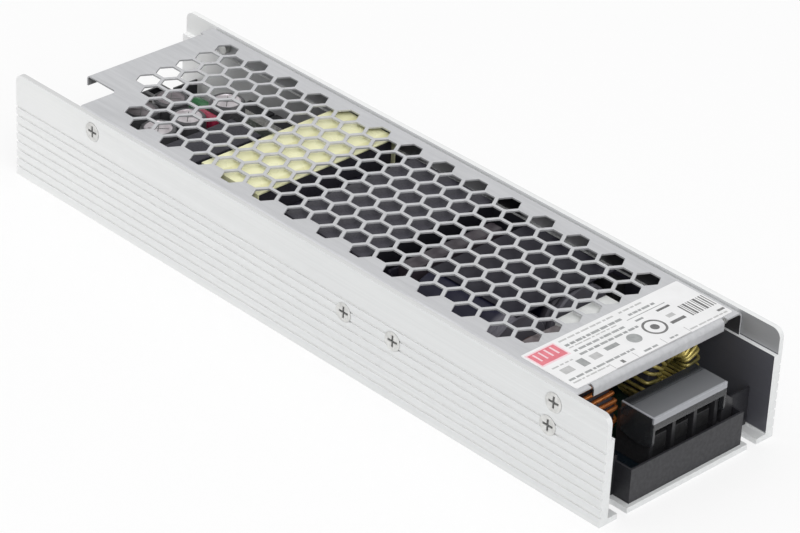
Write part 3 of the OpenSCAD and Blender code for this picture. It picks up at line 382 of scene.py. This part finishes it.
# A grained finish has its name, darker and lighter colour, grains in a metre, roughness, metallic share, and the
# strength and depth of its relief.
FINISH = {
    "extrusion": extruded_aluminium(),
    "cover": rolled_cover(),
    "zinc": grained("zinc_plated_steel", (0.5, 0.49, 0.46), (0.72, 0.71, 0.68), 700, 0.3, 0.85, 0.15),
    "wall_screw": wall_screw(),
    "tin": grained("tinned_brass", (0.55, 0.5, 0.38), (0.76, 0.71, 0.56), 500, 0.32, 0.85, 0.15),
    "film": grained("label_film", (0.75, 0.75, 0.755), (0.81, 0.81, 0.815), 150, 0.45, 0.0, 0.05),
    "dark_sheet": grained("dark_insulating_sheet", (0.012, 0.012, 0.015), (0.019, 0.019, 0.023), 900, 0.5),
    "board": board_mask(),
    "black": grained("black_moulding", (0.016, 0.016, 0.018), (0.03, 0.03, 0.033), 1500, 0.42),
    "smoked": clear_smoked(),
    "ferrite": grained("pressed_ferrite", (0.022, 0.021, 0.03), (0.036, 0.034, 0.046), 1800, 0.6, 0.0, 0.4),
    "deep_ferrite": end_shaded_ferrite(),
    "copper_wire": grained("copper_enamel", (0.42, 0.13, 0.035), (0.72, 0.27, 0.08), 260, 0.26, 0.55, 0.1),
    "yellow_wire": grained("yellow_enamel", (0.02, 0.026, 0.008), (0.92, 0.76, 0.24), 150, 0.26, 0.3, 0.1),
    "shaded_metal": grained("shaded_metal", (0.05, 0.05, 0.052), (0.10, 0.10, 0.104), 500, 0.32, 0.7, 0.15),
    # painted highlight for the up-facing cut edges of the tray's side walls
    "painted_edge_light": grained("painted_sheet_edge_light", (0.5, 0.5, 0.52), (0.62, 0.62, 0.64), 900, 0.45),
    # painted shade for the tops of the rear row of output cans
    "painted_shade_top": grained("painted_shade_can_top", (0.20, 0.18, 0.19), (0.30, 0.265, 0.28), 500, 0.4, 0.3, 0.2),
    "grey_case": grained("pale_grey_case", (0.60, 0.61, 0.60), (0.70, 0.71, 0.70), 400, 0.5),
    "blue_dip": grained("blue_coating", (0.02, 0.045, 0.17), (0.035, 0.075, 0.26),
                        300, 0.24, 0.0, 0.5, COATING_DEPTH),
    "brown_dip": grained("brown_coating", (0.13, 0.065, 0.05), (0.21, 0.115, 0.09),
                         300, 0.3, 0.0, 0.5, COATING_DEPTH),
    "dusk_dip": grained("dusky_coating", (0.03, 0.024, 0.032), (0.05, 0.038, 0.048),
                        300, 0.34, 0.0, 0.5, COATING_DEPTH),
    "white_case": grained("white_moulding", (0.74, 0.73, 0.68), (0.82, 0.81, 0.76), 500, 0.42),
    "dark_sleeve": shrunk_sleeve(),
    "dark_tape": banded_tape("dark_wound_tape", (0.045, 0.042, 0.06), (0.02, 0.018, 0.03), 60),
    "navy_case": grained("navy_case", (0.012, 0.014, 0.06), (0.022, 0.026, 0.11), 400, 0.35),
    "slate_case": grained("slate_case", (0.03, 0.034, 0.045), (0.05, 0.055, 0.07), 400, 0.4),
    "yellow_tape": banded_tape("yellow_wound_tape", (0.84, 0.835, 0.55), (0.70, 0.68, 0.38), 26),
    "grey_sleeve": grained("grey_shrunk_sleeve", (0.05, 0.05, 0.055), (0.09, 0.09, 0.095), 200, 0.3, 0.0, 0.3),
    "grey_tape": banded_tape("grey_wound_tape", (0.15, 0.15, 0.155), (0.08, 0.08, 0.085), 60),
    "soft_sheet": grained("dark_soft_sheet", (0.008, 0.007, 0.014), (0.013, 0.012, 0.021), 200, 0.6, shine=0.32),
    "taupe_dip": grained("taupe_coating", (0.1, 0.085, 0.09), (0.15, 0.125, 0.13),
                         300, 0.36, 0.0, 0.4, COATING_DEPTH),
    "can_top": grained("bare_can_top", (0.54, 0.49, 0.51), (0.76, 0.73, 0.75), 500, 0.34, 0.6, 0.2),
    "green_dip": grained("green_coating", (0.03, 0.13, 0.05), (0.06, 0.22, 0.09), 300, 0.28, 0.0, 0.4),
    "red_dip": grained("red_coating", (0.26, 0.015, 0.045), (0.42, 0.035, 0.085), 300, 0.28, 0.0, 0.4),
    "green_lens": grained("green_lens", (0.05, 0.42, 0.13), (0.09, 0.58, 0.2), 200, 0.14),
    "solder": grained("solder_and_leads", (0.48, 0.49, 0.5), (0.7, 0.71, 0.72), 700, 0.28, 0.9, 0.2),
    "ink": grained("grey_ink", (0.10, 0.10, 0.10), (0.18, 0.18, 0.18), 600, 0.6),
    "faint_ink": grained("faint_ink", (0.42, 0.42, 0.42), (0.52, 0.52, 0.52), 600, 0.6),
    "soft_ink": grained("soft_ink", (0.26, 0.27, 0.27), (0.36, 0.37, 0.37), 600, 0.6),
    "coral_ink": grained("coral_ink", (0.60, 0.14, 0.18), (0.74, 0.2, 0.24), 400, 0.5),
    "pale_coral_ink": grained("pale_coral_ink", (0.78, 0.56, 0.6), (0.84, 0.64, 0.68), 400, 0.5),
}


# ---------------------------------------------------------------- shared modelling steps

def finished(name, shape, finish, body=FIXED, stands_for=(), smooth_below=20):
    """Makes the object of a finished shape, shades it, and lets it ride on its body."""
    mesh = bpy.data.meshes.new(name)
    shape.to_mesh(mesh)
    shape.free()
    mesh.polygons.foreach_set("use_smooth", [True] * len(mesh.polygons))
    mesh.set_sharp_from_angle(angle=math.radians(smooth_below))
    piece = bpy.data.objects.new(name, mesh)
    bpy.context.scene.collection.objects.link(piece)
    for each in finish if isinstance(finish, (list, tuple)) else [finish]:
        mesh.materials.append(FINISH[each])
    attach(piece, body)
    if stands_for:
        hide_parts(*stands_for)
    return piece


def solid_copy(node):
    """A merged copy of a CAD node, its flat faces made whole."""
    shape = bmesh.new()
    shape.from_mesh(cad[node].data)
    bmesh.ops.remove_doubles(shape, verts=shape.verts, dist=0.000002)
    bmesh.ops.dissolve_limit(shape, angle_limit=math.radians(0.5), verts=shape.verts, edges=shape.edges)
    return shape


def eased(node, finish, width, body=FIXED, segments=2):
    """A CAD node with its sharp edges eased by a small radius in millimetres."""
    shape = solid_copy(node)
    sharp = [e for e in shape.edges if e.is_manifold and e.calc_face_angle(0) > math.radians(32)]
    bmesh.ops.bevel(shape, geom=sharp, offset=width * MM, affect="EDGES", segments=segments, profile=0.5,
                    clamp_overlap=True, material=-1)
    return finished(node + "_eased", shape, finish, body, (node,))


def box_shape(low, high, ease=0.0, segments=2):
    """A box between two corners in millimetres, with eased edges."""
    shape = bmesh.new()
    size = [high[i] - low[i] for i in range(3)]
    middle = [(high[i] + low[i]) / 2 for i in range(3)]
    bmesh.ops.create_cube(shape, size=1, matrix=Matrix.Translation(Vector(middle) * MM) @ Matrix.Diagonal(
        (size[0] * MM, size[1] * MM, size[2] * MM, 1)))
    if ease:
        bmesh.ops.bevel(shape, geom=shape.edges[:], offset=ease * MM, affect="EDGES", segments=segments,
                        profile=0.5, clamp_overlap=True, material=-1)
    return shape


def join_shape(target, other, material=None):
    """Adds one shape to another, with a material number for the added faces."""
    carrier = bpy.data.meshes.new("carrier")
    other.to_mesh(carrier)
    other.free()
    start = len(target.faces)
    target.from_mesh(carrier)
    bpy.data.meshes.remove(carrier)
    if material is not None:
        target.faces.ensure_lookup_table()
        for face in target.faces[start:]:
            face.material_index = material
    return target


def turned(profile, steps=40, matrix=None, bands=None):
    """A shape spun from a profile of (radius, height) pairs in millimetres around Z. bands gives each face its
    material number from its radius and height."""
    shape = bmesh.new()
    points = [shape.verts.new((r * MM, 0, z * MM)) for r, z in profile]
    edges = [shape.edges.new((points[i], points[i + 1])) for i in range(len(points) - 1)]
    bmesh.ops.spin(shape, geom=points + edges, cent=(0, 0, 0), axis=(0, 0, 1), angle=math.tau, steps=steps,
                   use_merge=True)
    bmesh.ops.remove_doubles(shape, verts=shape.verts, dist=0.000001)
    bmesh.ops.recalc_face_normals(shape, faces=shape.faces)
    if bands:
        for face in shape.faces:
            middle = face.calc_center_median()
            face.material_index = bands(math.hypot(middle.x, middle.y) / MM, middle.z / MM)
    if matrix:
        bmesh.ops.transform(shape, matrix=matrix, verts=shape.verts)
    return shape


def place(x, y, z, towards=(0, 0, 1)):
    """A matrix that stands something at a point in millimetres, its Z axis along a direction."""
    turn = Vector((0, 0, 1)).rotation_difference(Vector(towards)).to_matrix().to_4x4()
    return Matrix.Translation(Vector((x, y, z)) * MM) @ turn


def wire_path(points, radius, sides=8):
    """A round wire swept through points in millimetres, closed at its ends."""
    shape = bmesh.new()
    path = [Vector(p) * MM for p in points]
    rings = []
    for i, point in enumerate(path):
        before = path[max(i - 1, 0)]
        after = path[min(i + 1, len(path) - 1)]
        turn = Vector((0, 0, 1)).rotation_difference((after - before).normalized()).to_matrix().to_4x4()
        made = bmesh.ops.create_circle(shape, segments=sides, radius=radius * MM, cap_ends=i in (0, len(path) - 1),
                                       matrix=Matrix.Translation(point) @ turn)
        rings.append(made["verts"])
    for first, second in zip(rings, rings[1:]):
        between = [e for ring in (first, second) for v in ring for e in v.link_edges
                   if e.other_vert(v) in ring]
        bmesh.ops.bridge_loops(shape, edges=list(set(between)))
    bmesh.ops.recalc_face_normals(shape, faces=shape.faces)
    return shape


def wire_turn(inner, outer, half_width, wire, corner=1.2, sides=8):
    """One closed turn of round wire around a ring's section, in the XZ plane, in millimetres."""
    shape = bmesh.new()
    made = bmesh.ops.create_circle(shape, segments=sides, radius=wire * MM,
                                   matrix=Matrix.Translation(Vector((outer, 0, -half_width + corner)) * MM))
    ring = made["verts"]
    edges = list({e for v in ring for e in v.link_edges})
    corners = [((outer - corner, half_width - corner), 2 * (half_width - corner), (0, 0, 1)),
               ((inner + corner, half_width - corner), outer - inner - 2 * corner, (-1, 0, 0)),
               ((inner + corner, -half_width + corner), 2 * (half_width - corner), (0, 0, -1)),
               ((outer - corner, -half_width + corner), outer - inner - 2 * corner, (1, 0, 0))]
    for centre, run, way in corners:
        grown = bmesh.ops.extrude_edge_only(shape, edges=edges)["geom"]
        ring = [g for g in grown if isinstance(g, bmesh.types.BMVert)]
        bmesh.ops.translate(shape, verts=ring, vec=Vector(way) * run * MM)
        edges = [g for g in grown if isinstance(g, bmesh.types.BMEdge)]
        spun = bmesh.ops.spin(shape, geom=ring + edges, cent=Vector((centre[0], 0, centre[1])) * MM,
                              axis=(0, -1, 0), angle=math.pi / 2, steps=4)["geom_last"]
        ring = [g for g in spun if isinstance(g, bmesh.types.BMVert)]
        edges = [g for g in spun if isinstance(g, bmesh.types.BMEdge)]
    bmesh.ops.remove_doubles(shape, verts=shape.verts, dist=0.00001)
    bmesh.ops.recalc_face_normals(shape, faces=shape.faces)
    return shape


def wound_ring(inner, outer, half_width, wire, angles, matrix, seed):
    """Round turns on a ring whose axis is Z, each a little out of line, as a hand-wound choke has."""
    shape = bmesh.new()
    shake = random.Random(seed)
    for angle in angles:
        one = wire_turn(inner, outer + shake.uniform(-0.05, 0.05), half_width, wire)
        lean = Matrix.Rotation(math.radians(shake.uniform(-2.5, 2.5)), 4, "X")
        bmesh.ops.transform(one, matrix=Matrix.Rotation(math.radians(angle), 4, "Z") @ lean, verts=one.verts)
        join_shape(shape, one)
    bmesh.ops.transform(shape, matrix=matrix, verts=shape.verts)
    return shape


def middle_mm(node):
    """The middle of a CAD node's box in millimetres."""
    low, high = corners_mm(node)
    return [(low[i] + high[i]) / 2 for i in range(3)]


# ---------------------------------------------------------------- casing

eased("chassis", "extrusion", 0.16)
eased("top_cover", "cover", 0.1)
for screws in ("cover_screws", "device_screws", "earth_screw"):
    eased(screws, "wall_screw", 0.09)
for screws in ("board_screws", "output_terminal_screws", "device_nuts"):
    eased(screws, "zinc", 0.09)
for plates in ("output_terminal_plates", "earth_lug", "board_standoffs", "header_pins"):
    eased(plates, "tin", 0.08)
eased("input_terminal_screws", "shaded_metal", 0.09)
eased("input_terminal_plates", "shaded_metal", 0.08)


def sheet_tray():
    """The folded dark sheet, with a painted highlight on the cut edges along the top of its side walls."""
    tray = eased("insulation_tray", ["dark_sheet", "painted_edge_light"], 0.12)
    edge_z = corners_mm("insulation_tray")[1][2] * MM - 0.4 * MM
    wall_y = 28.2 * MM
    # painted highlight on the up-facing cut edges of the side walls
    for face in tray.data.polygons:
        if face.normal.z > 0.6 and face.center.z > edge_z and abs(face.center.y) > wall_y:
            face.material_index = 1


sheet_tray()
eased("fuse_clips", "zinc", 0.08)
eased("circuit_board", "board", 0.08)
eased("control_card", "board", 0.08)


# ---------------------------------------------------------------- label

def label_piece():
    """The film with rounded corners."""
    low, high = corners_mm("rating_label")
    shape = box_shape(low, high)
    upright = [e for e in shape.edges if abs(e.verts[0].co.z - e.verts[1].co.z) > 0.00005]
    bmesh.ops.bevel(shape, geom=upright, offset=0.6 * MM, affect="EDGES", segments=4, profile=0.5, material=-1)
    finished("rating_label_film", shape, "film", stands_for=("rating_label",))


# How far ink goes into the film and how far it stands above it, in millimetres.
INK_ROOT, INK_TOP = -0.02, 0.012


def printed_bars(name, finish, bars, lift=0.0):
    """Flat bars of ink on the label: (x from its rear edge, y from its near edge, length along x, length along y).
    Bars that lie on other bars are lifted."""
    low, high = corners_mm("rating_label")
    shape = bmesh.new()
    for x, y, along, across in bars:
        join_shape(shape, box_shape((low[0] + x, low[1] + y, high[2] + INK_ROOT),
                                    (low[0] + x + along, low[1] + y + across, high[2] + INK_TOP + lift)))
    finished(name, shape, finish)


def word_bars(x, y, end, height, seed, share=(0.8, 2.8), gap=(0.25, 0.55)):
    """A line of print as bars of word-like lengths."""
    chance = random.Random(seed)
    bars = []
    while y < end - 0.8:
        length = min(chance.uniform(*share), end - y)
        bars.append((x, y, height, length))
        y += length + chance.uniform(*gap)
    return bars


def printed_rings(name, finish, rings):
    """Flat rings and dots of ink on the label: (x and y as for the bars, outer radius, inner radius)."""
    low, high = corners_mm("rating_label")
    shape = bmesh.new()
    for x, y, outer, inner in rings:
        profile = [(inner, INK_ROOT), (outer, INK_ROOT), (outer, INK_TOP), (inner, INK_TOP)]
        if inner:
            profile.append(profile[0])
        join_shape(shape, turned(profile, 40, place(low[0] + x, low[1] + y, high[2])))
    finished(name, shape, finish)


label_piece()
printed_bars("label_coral_margin", "pale_coral_ink", [(0.8, 0.5, 6.2, 9.8)])
printed_bars("label_coral_field", "coral_ink", [(1.3, 1.0, 5.1, 8.8)], 0.012)
printed_bars("label_coral_bars", "pale_coral_ink", [(1.7, 2.2 + 1.9 * i, 3.3, 0.55) for i in range(4)], 0.024)
# Lines of print: (x from the label's rear edge, y where it starts, y where it ends, height of the print).
text_rows = [(8.2, 11.6, 31.8, 0.8), (6.3, 11.6, 29.5, 0.8), (6.3, 33.0, 36.2, 0.7), (3.3, 11.6, 31.8, 0.9),
             (3.3, 33.7, 42.8, 0.8), (14.7, 1.2, 23.9, 0.75), (17.1, 24.6, 29.7, 0.7), (17.1, 33.7, 36.5, 0.6)]
printed_bars("label_lines", "soft_ink",
             [bar for seed, (x, y, end, height) in enumerate(text_rows)
              for bar in word_bars(x, y, end, height, seed)]
             + [(9.9, 8.5, 3.2, 2.3), (10.2, 17.9, 1.5, 4.4), (5.0, 31.6, 0.25, 13.4)])
small_rows = [(1.2, 11.6, 30.4, 0.6), (1.2, 32.5, 40.5, 0.6), (16.2, 1.2, 13.5, 0.5), (17.4, 40.6, 54.8, 0.55),
              (8.7, 1.7, 8.7, 0.5), (4.8, 11.6, 28.0, 0.4)]
printed_bars("label_small_lines", "faint_ink",
             [bar for seed, (x, y, end, height) in enumerate(small_rows)
              for bar in word_bars(x, y, end, height, seed + 20)]
             + [(15.9, y, 2.5, 0.22) for y in (13.7, 21.7, 31.6, 40.0)] + [(18.5, 13.7, 0.22, 26.5)]
             + [(10.3, 2.6, 2.4, 3.4), (10.3, 12.6, 2.3, 3.0), (9.4, 40.6, 1.4, 2.4)])
printed_bars("label_dark_marks", "ink",
             [(12.2, 39.2, 1.1, 5.0), (16.6, 16.9, 1.3, 1.0), (15.7, 52.2, 0.8, 2.4), (6.3, 40.5, 0.8, 4.5)]
             + [(8.4, 46.0 + step, 5.4, width) for step, width in
                ((0, 0.5), (0.9, 0.25), (1.5, 0.7), (2.7, 0.3), (3.4, 0.5), (4.5, 0.25), (5.1, 0.8), (6.4, 0.3),
                 (7.2, 0.5), (8.2, 0.3))])
printed_rings("label_rings", "ink", [(11.4, 34.8, 3.3, 2.65), (11.4, 34.8, 1.2, 0)])
printed_rings("label_dot", "soft_ink", [(11.8, 27.1, 2.0, 0)])


# ---------------------------------------------------------------- terminals

eased("input_terminal_block", "black", 0.22)
eased("output_terminal_block", "black", 0.22)
eased("terminal_cover", "smoked", 0.14, body="terminal_cover")


# ---------------------------------------------------------------- ring chokes

def ring_choke(core_node, winding_node, axis, turns_at, wire, finish, seed):
    """A ferrite ring with rounded edges, and round wire around it."""
    low, high = corners_mm(winding_node)
    centre = middle_mm(core_node)
    size = [high[i] - low[i] for i in range(3)]
    along = max(range(3), key=lambda i: abs(axis[i]))
    across = [i for i in range(3) if i != along]
    outer = max(size[across[0]], size[across[1]]) / 2
    core_low, core_high = corners_mm(core_node)
    core_outer = (core_high[across[1]] - core_low[across[1]]) / 2
    core_half = (core_high[along] - core_low[along]) / 2
    inner = outer / 2
    matrix = place(*centre, towards=axis)
    profile = [(inner + 0.6, -core_half), (core_outer - 0.8, -core_half), (core_outer - 0.2, -core_half + 0.25),
               (core_outer, -core_half + 0.8), (core_outer, core_half - 0.8), (core_outer - 0.2, core_half - 0.25),
               (core_outer - 0.8, core_half), (inner + 0.6, core_half), (inner, core_half - 0.6),
               (inner, -core_half + 0.6), (inner + 0.6, -core_half)]
    ring = turned(profile, 48, matrix)
    finished(core_node + "_ring", ring, "ferrite", stands_for=(core_node,))
    wires = wound_ring(inner - wire, outer - wire, size[along] / 2 - wire, wire, turns_at, matrix, seed)
    finished(winding_node + "_wires", wires, finish, stands_for=(winding_node,), smooth_below=60)


# The near ring has a coil of 13 turns on each half, 156 degrees wide. The far ring has 26 turns all round.
near_angles = [half + 12 + 156 * i / 12 for half in (0, 180) for i in range(13)]
far_angles = [360 * i / 26 for i in range(26)]
ring_choke("line_choke_core", "line_choke_winding", (0, -1, 0), near_angles, 0.6,
           "copper_wire", 21)
ring_choke("filter_choke_core", "filter_choke_winding", (1, 0, 0), far_angles, 0.48,
           "yellow_wire", 22)


# ---------------------------------------------------------------- capacitors

def can_profile(r, h):
    """Profile of a can capacitor: sleeve rolled over a bare top with a raised rim."""
    return [(0, 0.1), (r - 0.9, 0.1), (r - 0.5, 0.0), (r - 0.05, 0.5), (r, 1.0), (r, 1.5), (r - 0.5, 2.0),
            (r - 0.55, 2.4), (r, 3.0), (r, h - 0.9), (r - 0.12, h - 0.4), (r - 0.45, h - 0.08), (r - 0.95, h),
            (r - 1.2, h - 0.1), (r - 1.35, h - 0.35), (0, h - 0.35)]


def can_capacitor(r, h, matrix, top=1):
    """A sleeved can whose top has a scored cross. top is the material number of its bare top."""
    shape = turned(can_profile(r, h), 40, None, lambda radius, z: top if z > h - 0.5 and radius < r - 1.15 else 0)
    for turn in (0, 90):
        score = box_shape((-(r - 2.2), -0.12, h - 0.4), (r - 2.2, 0.12, h - 0.28))
        bmesh.ops.rotate(score, cent=(0, 0, 0), matrix=Matrix.Rotation(math.radians(turn + 45), 3, "Z"),
                         verts=score.verts)
        join_shape(shape, score, 2)
    bmesh.ops.transform(shape, matrix=matrix, verts=shape.verts)
    return shape


def solid_parts(node):
    """The boxes in millimetres of a CAD node's separate solids, in order along x and then y."""
    shape = solid_copy(node)
    unseen = set(shape.verts)
    boxes = []
    while unseen:
        group = {unseen.pop()}
        edge = list(group)
        while edge:
            vert = edge.pop()
            for link in vert.link_edges:
                other = link.other_vert(vert)
                if other in unseen:
                    unseen.discard(other)
                    group.add(other)
                    edge.append(other)
        boxes.append(([min(v.co[i] for v in group) / MM for i in range(3)],
                      [max(v.co[i] for v in group) / MM for i in range(3)]))
    shape.free()
    return sorted(boxes)


def output_cans():
    """The rear row of cans has tops in painted shade, darker than the front row's pale ones."""
    parts = solid_parts("output_capacitors")
    rear_x = parts[0][0][0]
    shape = bmesh.new()
    for low, high in parts:
        r = (high[0] - low[0]) / 2
        top = 1 if low[0] > rear_x + 1 else 3
        join_shape(shape, can_capacitor(r, high[2] - low[2], place(low[0] + r, low[1] + r, low[2]), top))
    finished("output_capacitor_cans", shape, ["grey_sleeve", "can_top", "ink", "painted_shade_top"],
             stands_for=("output_capacitors",))


def bulk_cans():
    """The two large cans lie along the channel, with their tops to the rear."""
    shape = bmesh.new()
    for low, high in solid_parts("bulk_capacitors"):
        r = (high[1] - low[1]) / 2
        join_shape(shape, can_capacitor(r, high[0] - low[0], place(high[0], low[1] + r, low[2] + r, (-1, 0, 0))))
    finished("bulk_capacitor_cans", shape, ["dark_sleeve", "can_top", "ink"], stands_for=("bulk_capacitors",))


output_cans()
bulk_cans()


def dipped_disc(name, node, finish):
    """A coated disc with a domed face, and two leads that run into it."""
    low, high = corners_mm(node)
    middle = middle_mm(node)
    r = (high[1] - low[1]) / 2
    half = (high[0] - low[0]) / 2
    centre_z = high[2] - r
    profile = [(0, half), (r * 0.55, half * 0.97), (r * 0.82, half * 0.8), (r * 0.95, half * 0.5), (r, 0),
               (r * 0.95, -half * 0.5), (r * 0.82, -half * 0.8), (r * 0.55, -half * 0.97), (0, -half)]
    shape = turned(profile, 40, place(middle[0], middle[1], centre_z, (1, 0, 0)))
    for side in (-1, 1):
        y = middle[1] + side * r * 0.5
        lead = wire_path([(middle[0], y, z) for z in (low[2], low[2] + 1.2, centre_z - r * 0.6)], 0.38)
        join_shape(shape, lead, 1)
        sleeve = turned([(0.01, 0), (0.75, 0), (0.62, 1.6), (0.01, 2.2)], 12,
                        place(middle[0], y, centre_z - r * 0.86, (0, 0, -1)))
        join_shape(shape, sleeve, 0)
    finished(name, shape, [finish, "solder"], stands_for=(node,), smooth_below=50)


dipped_disc("inrush_thermistor_disc", "inrush_thermistor", "brown_dip")
dipped_disc("surge_varistor_disc", "surge_varistor", "blue_dip")

for node, finish, ease, slot in (
        ("line_capacitor", "grey_case", 0.6, "grey_case"),
        ("filter_capacitor", "taupe_dip", 1.2, "taupe_coating"),
        ("bulk_sheet", "soft_sheet", 0.1, "dark_tape"),
        ("bypass_capacitor", "dusk_dip", 1.2, "dusk_coating"),
        ("gate_transformer", "navy_case", 0.5, "navy_case"),
        ("resonant_capacitor", "slate_case", 1.0, "grey_dark_case"),
        ("green_film_capacitor", "green_dip", 1.0, "green_coating"),
        ("red_film_capacitor", "red_dip", 1.0, "red_coating"),
        ("bridge_rectifier", "black", 0.35, "black_plastic"),
        ("switch_transistors", "black", 0.2, "black_plastic"),
        ("output_rectifiers", "black", 0.2, "black_plastic"),
        ("card_header", "black", 0.15, "black_plastic"),
        ("optocouplers", "white_case", 0.25, "white_case"),
        ("signal_header", "white_case", 0.15, "white_case"),
        ("rectifier_bar", "zinc", 0.3, "aluminium_body")):
    eased(node, finish, ease, segments=3)


def line_fuse():
    """A pale tube with metal caps."""
    low, high = corners_mm("line_fuse")
    r = (high[0] - low[0]) / 2
    length = high[1] - low[1]
    cap = 2.6
    profile = [(0, 0), (r - 0.3, 0), (r, 0.3), (r, cap), (r - 0.18, cap + 0.05), (r - 0.18, length - cap - 0.05),
               (r, length - cap), (r, length - 0.3), (r - 0.3, length), (0, length)]
    shape = turned(profile, 32, None, lambda radius, z: 1 if z < cap + 0.02 or z > length - cap - 0.02 else 0)
    bmesh.ops.transform(shape, matrix=place(low[0] + r, low[1], low[2] + r, (0, 1, 0)), verts=shape.verts)
    finished("line_fuse_tube", shape, ["white_case", "zinc"], stands_for=("line_fuse",))


def indicator_light():
    """A domed lens on its flange."""
    low, high = corners_mm("indicator_light")
    r = (high[0] - low[0]) / 2
    lens = r * 0.79
    dome = high[2] - low[2] - lens
    profile = [(0, 0), (r, 0), (r, 0.9), (r - 0.1, 1.0), (lens, 1.0), (lens, dome)]
    profile += [(lens * math.cos(a), dome + lens * math.sin(a)) for a in map(math.radians, range(15, 90, 15))]
    profile += [(0, high[2] - low[2])]
    shape = turned(profile, 28, place(low[0] + r, low[1] + r, low[2]))
    finished("indicator_lens", shape, "green_lens", stands_for=("indicator_light",),
             smooth_below=40)


line_fuse()
indicator_light()


# ---------------------------------------------------------------- wound blocks

eased("output_choke_core", "ferrite", 0.4, segments=3)
eased("output_choke_winding", "grey_tape", 0.5, segments=3)
eased("boost_choke_core", "deep_ferrite", 0.4, segments=3)
eased("boost_choke_winding", "dark_tape", 0.8, segments=3)
eased("transformer_core", "ferrite", 0.4, segments=3)
eased("transformer_winding", "dark_tape", 0.5, segments=3)
eased("transformer_tape", "yellow_tape", 0.16, segments=3)


# ---------------------------------------------------------------- small parts on the board

def chip_parts():
    """Small surface parts in the free places of the board."""
    top = corners_mm("circuit_board")[1][2]
    bodies = bmesh.new()
    chance = random.Random(5)
    # Around the output terminals, behind the transformer, by the fuse, and beside the input terminals.
    places = [(-104.5 + chance.uniform(-0.4, 0.4), y) for y in range(-16, 17, 4) if abs(y) > 13]
    places += [(-98.5, y) for y in (15, 18, 21)] + [(-92, y) for y in (-8, -4, 0, 4, 8, 12, 16, 20)]
    places += [(-46, y) for y in (-18, -14, -10, 12, 16)] + [(64.5, y) for y in (-19, 21)]
    places += [(106.5, y) for y in (-17, -14)] + [(98, y) for y in (-16, -19)]
    for x, y in places:
        lengthwise = chance.random() < 0.5
        half = (0.8, 0.45) if lengthwise else (0.45, 0.8)
        height = chance.choice((0.5, 0.7, 0.9))
        body = box_shape((x - half[0], y - half[1], top), (x + half[0], y + half[1], top + height), 0.06)
        join_shape(bodies, body, chance.choice((0, 1)))
        for side in (-1, 1):
            low = [x - half[0] - 0.05, y - half[1] - 0.05, top]
            high = [x + half[0] + 0.05, y + half[1] + 0.05, top + height + 0.03]
            axis = 0 if lengthwise else 1
            if side < 0:
                high[axis] = low[axis] + 0.4
            else:
                low[axis] = high[axis] - 0.4
            join_shape(bodies, box_shape(low, high, 0.05), 2)
    finished("board_chips", bodies, ["black", "brown_dip", "solder"])


chip_parts()


# ---------------------------------------------------------------- studio

LAMP_DISTANCE = 2.2
LAMPS = (("key", 62, 42, 1.5, 19.5), ("fill", -62, 42, 2.0, 14.0), ("top", 100, 70, 2.3, 9.5))


def where_seen(nodes, links, low, high):
    """The high value where the camera, gloss or glass looks at something, the low one where it only gives light."""
    ray = nodes.new("ShaderNodeLightPath")
    seen = ray.outputs["Is Camera Ray"]
    for kind in ("Is Glossy Ray", "Is Transmission Ray"):
        seen = greater(nodes, links, seen, ray.outputs[kind])
    return spread(nodes, links, seen, low, high, (0, 1))


def surroundings():
    """White surroundings that look brighter than the light they give."""
    world = bpy.data.worlds.new("studio")
    bpy.context.scene.world = world
    world.use_nodes = True
    nodes, links = world.node_tree.nodes, world.node_tree.links
    background = nodes["Background"]
    background.inputs["Color"].default_value = (1, 1, 1, 1)
    links.new(where_seen(nodes, links, 0.55, 1.0), background.inputs["Strength"])


def pale_floor():
    """A floor that looks white and keeps a soft shadow."""
    mesh = bpy.data.meshes.new("floor")
    shape = bmesh.new()
    bmesh.ops.create_grid(shape, x_segments=1, y_segments=1, size=4)
    shape.to_mesh(mesh)
    shape.free()
    floor = bpy.data.objects.new("floor", mesh)
    bpy.context.scene.collection.objects.link(floor)
    pale, nodes, links, shader = new_finish("pale_floor", (0.86, 0.86, 0.86), 0.7)
    glow = nodes.new("ShaderNodeEmission")
    glow.inputs["Color"].default_value = (1, 1, 1, 1)
    mix = nodes.new("ShaderNodeMixShader")
    links.new(where_seen(nodes, links, 0.0, 0.72), mix.inputs["Fac"])
    links.new(shader.outputs["BSDF"], mix.inputs[1])
    links.new(glow.outputs["Emission"], mix.inputs[2])
    links.new(mix.outputs["Shader"], nodes["Material Output"].inputs["Surface"])
    mesh.materials.append(pale)


def lamps():
    """Soft square lamps around the middle: (name, degrees round, degrees up, side in metres, watts)."""
    for name, azimuth, elevation, size, power in LAMPS:
        lamp = bpy.data.lights.new(name, "AREA")
        lamp.size = size
        lamp.energy = power
        holder = bpy.data.objects.new(name, lamp)
        bpy.context.scene.collection.objects.link(holder)
        a, e = math.radians(azimuth), math.radians(elevation)
        way = Vector((math.sin(a) * math.cos(e), -math.cos(a) * math.cos(e), math.sin(e)))
        holder.location = way * LAMP_DISTANCE
        holder.rotation_euler = way.to_track_quat("Z", "Y").to_euler()


VIEW_PLACE = (0.55705, -0.55252, 0.47366)
VIEW_ROUND, VIEW_DOWN, VIEW_TILT = 44.79, 30.59, 3.10
LENS = 158.63


def camera():
    """The viewing place: 45 degrees round the input end, looking 31 degrees down, tilted a little."""
    view = bpy.data.cameras.new("view")
    view.sensor_width = 36
    view.lens = LENS
    view.clip_end = 10
    holder = bpy.data.objects.new("view", view)
    bpy.context.scene.collection.objects.link(holder)
    holder.matrix_world = (Matrix.Translation(VIEW_PLACE)
                           @ Matrix.Rotation(math.radians(VIEW_ROUND), 4, "Z")
                           @ Matrix.Rotation(math.radians(90 - VIEW_DOWN), 4, "X")
                           @ Matrix.Rotation(math.radians(VIEW_TILT), 4, "Z"))
    bpy.context.scene.camera = holder


surroundings()
pale_floor()
lamps()
camera()
bpy.context.scene.view_settings.view_transform = "Standard"
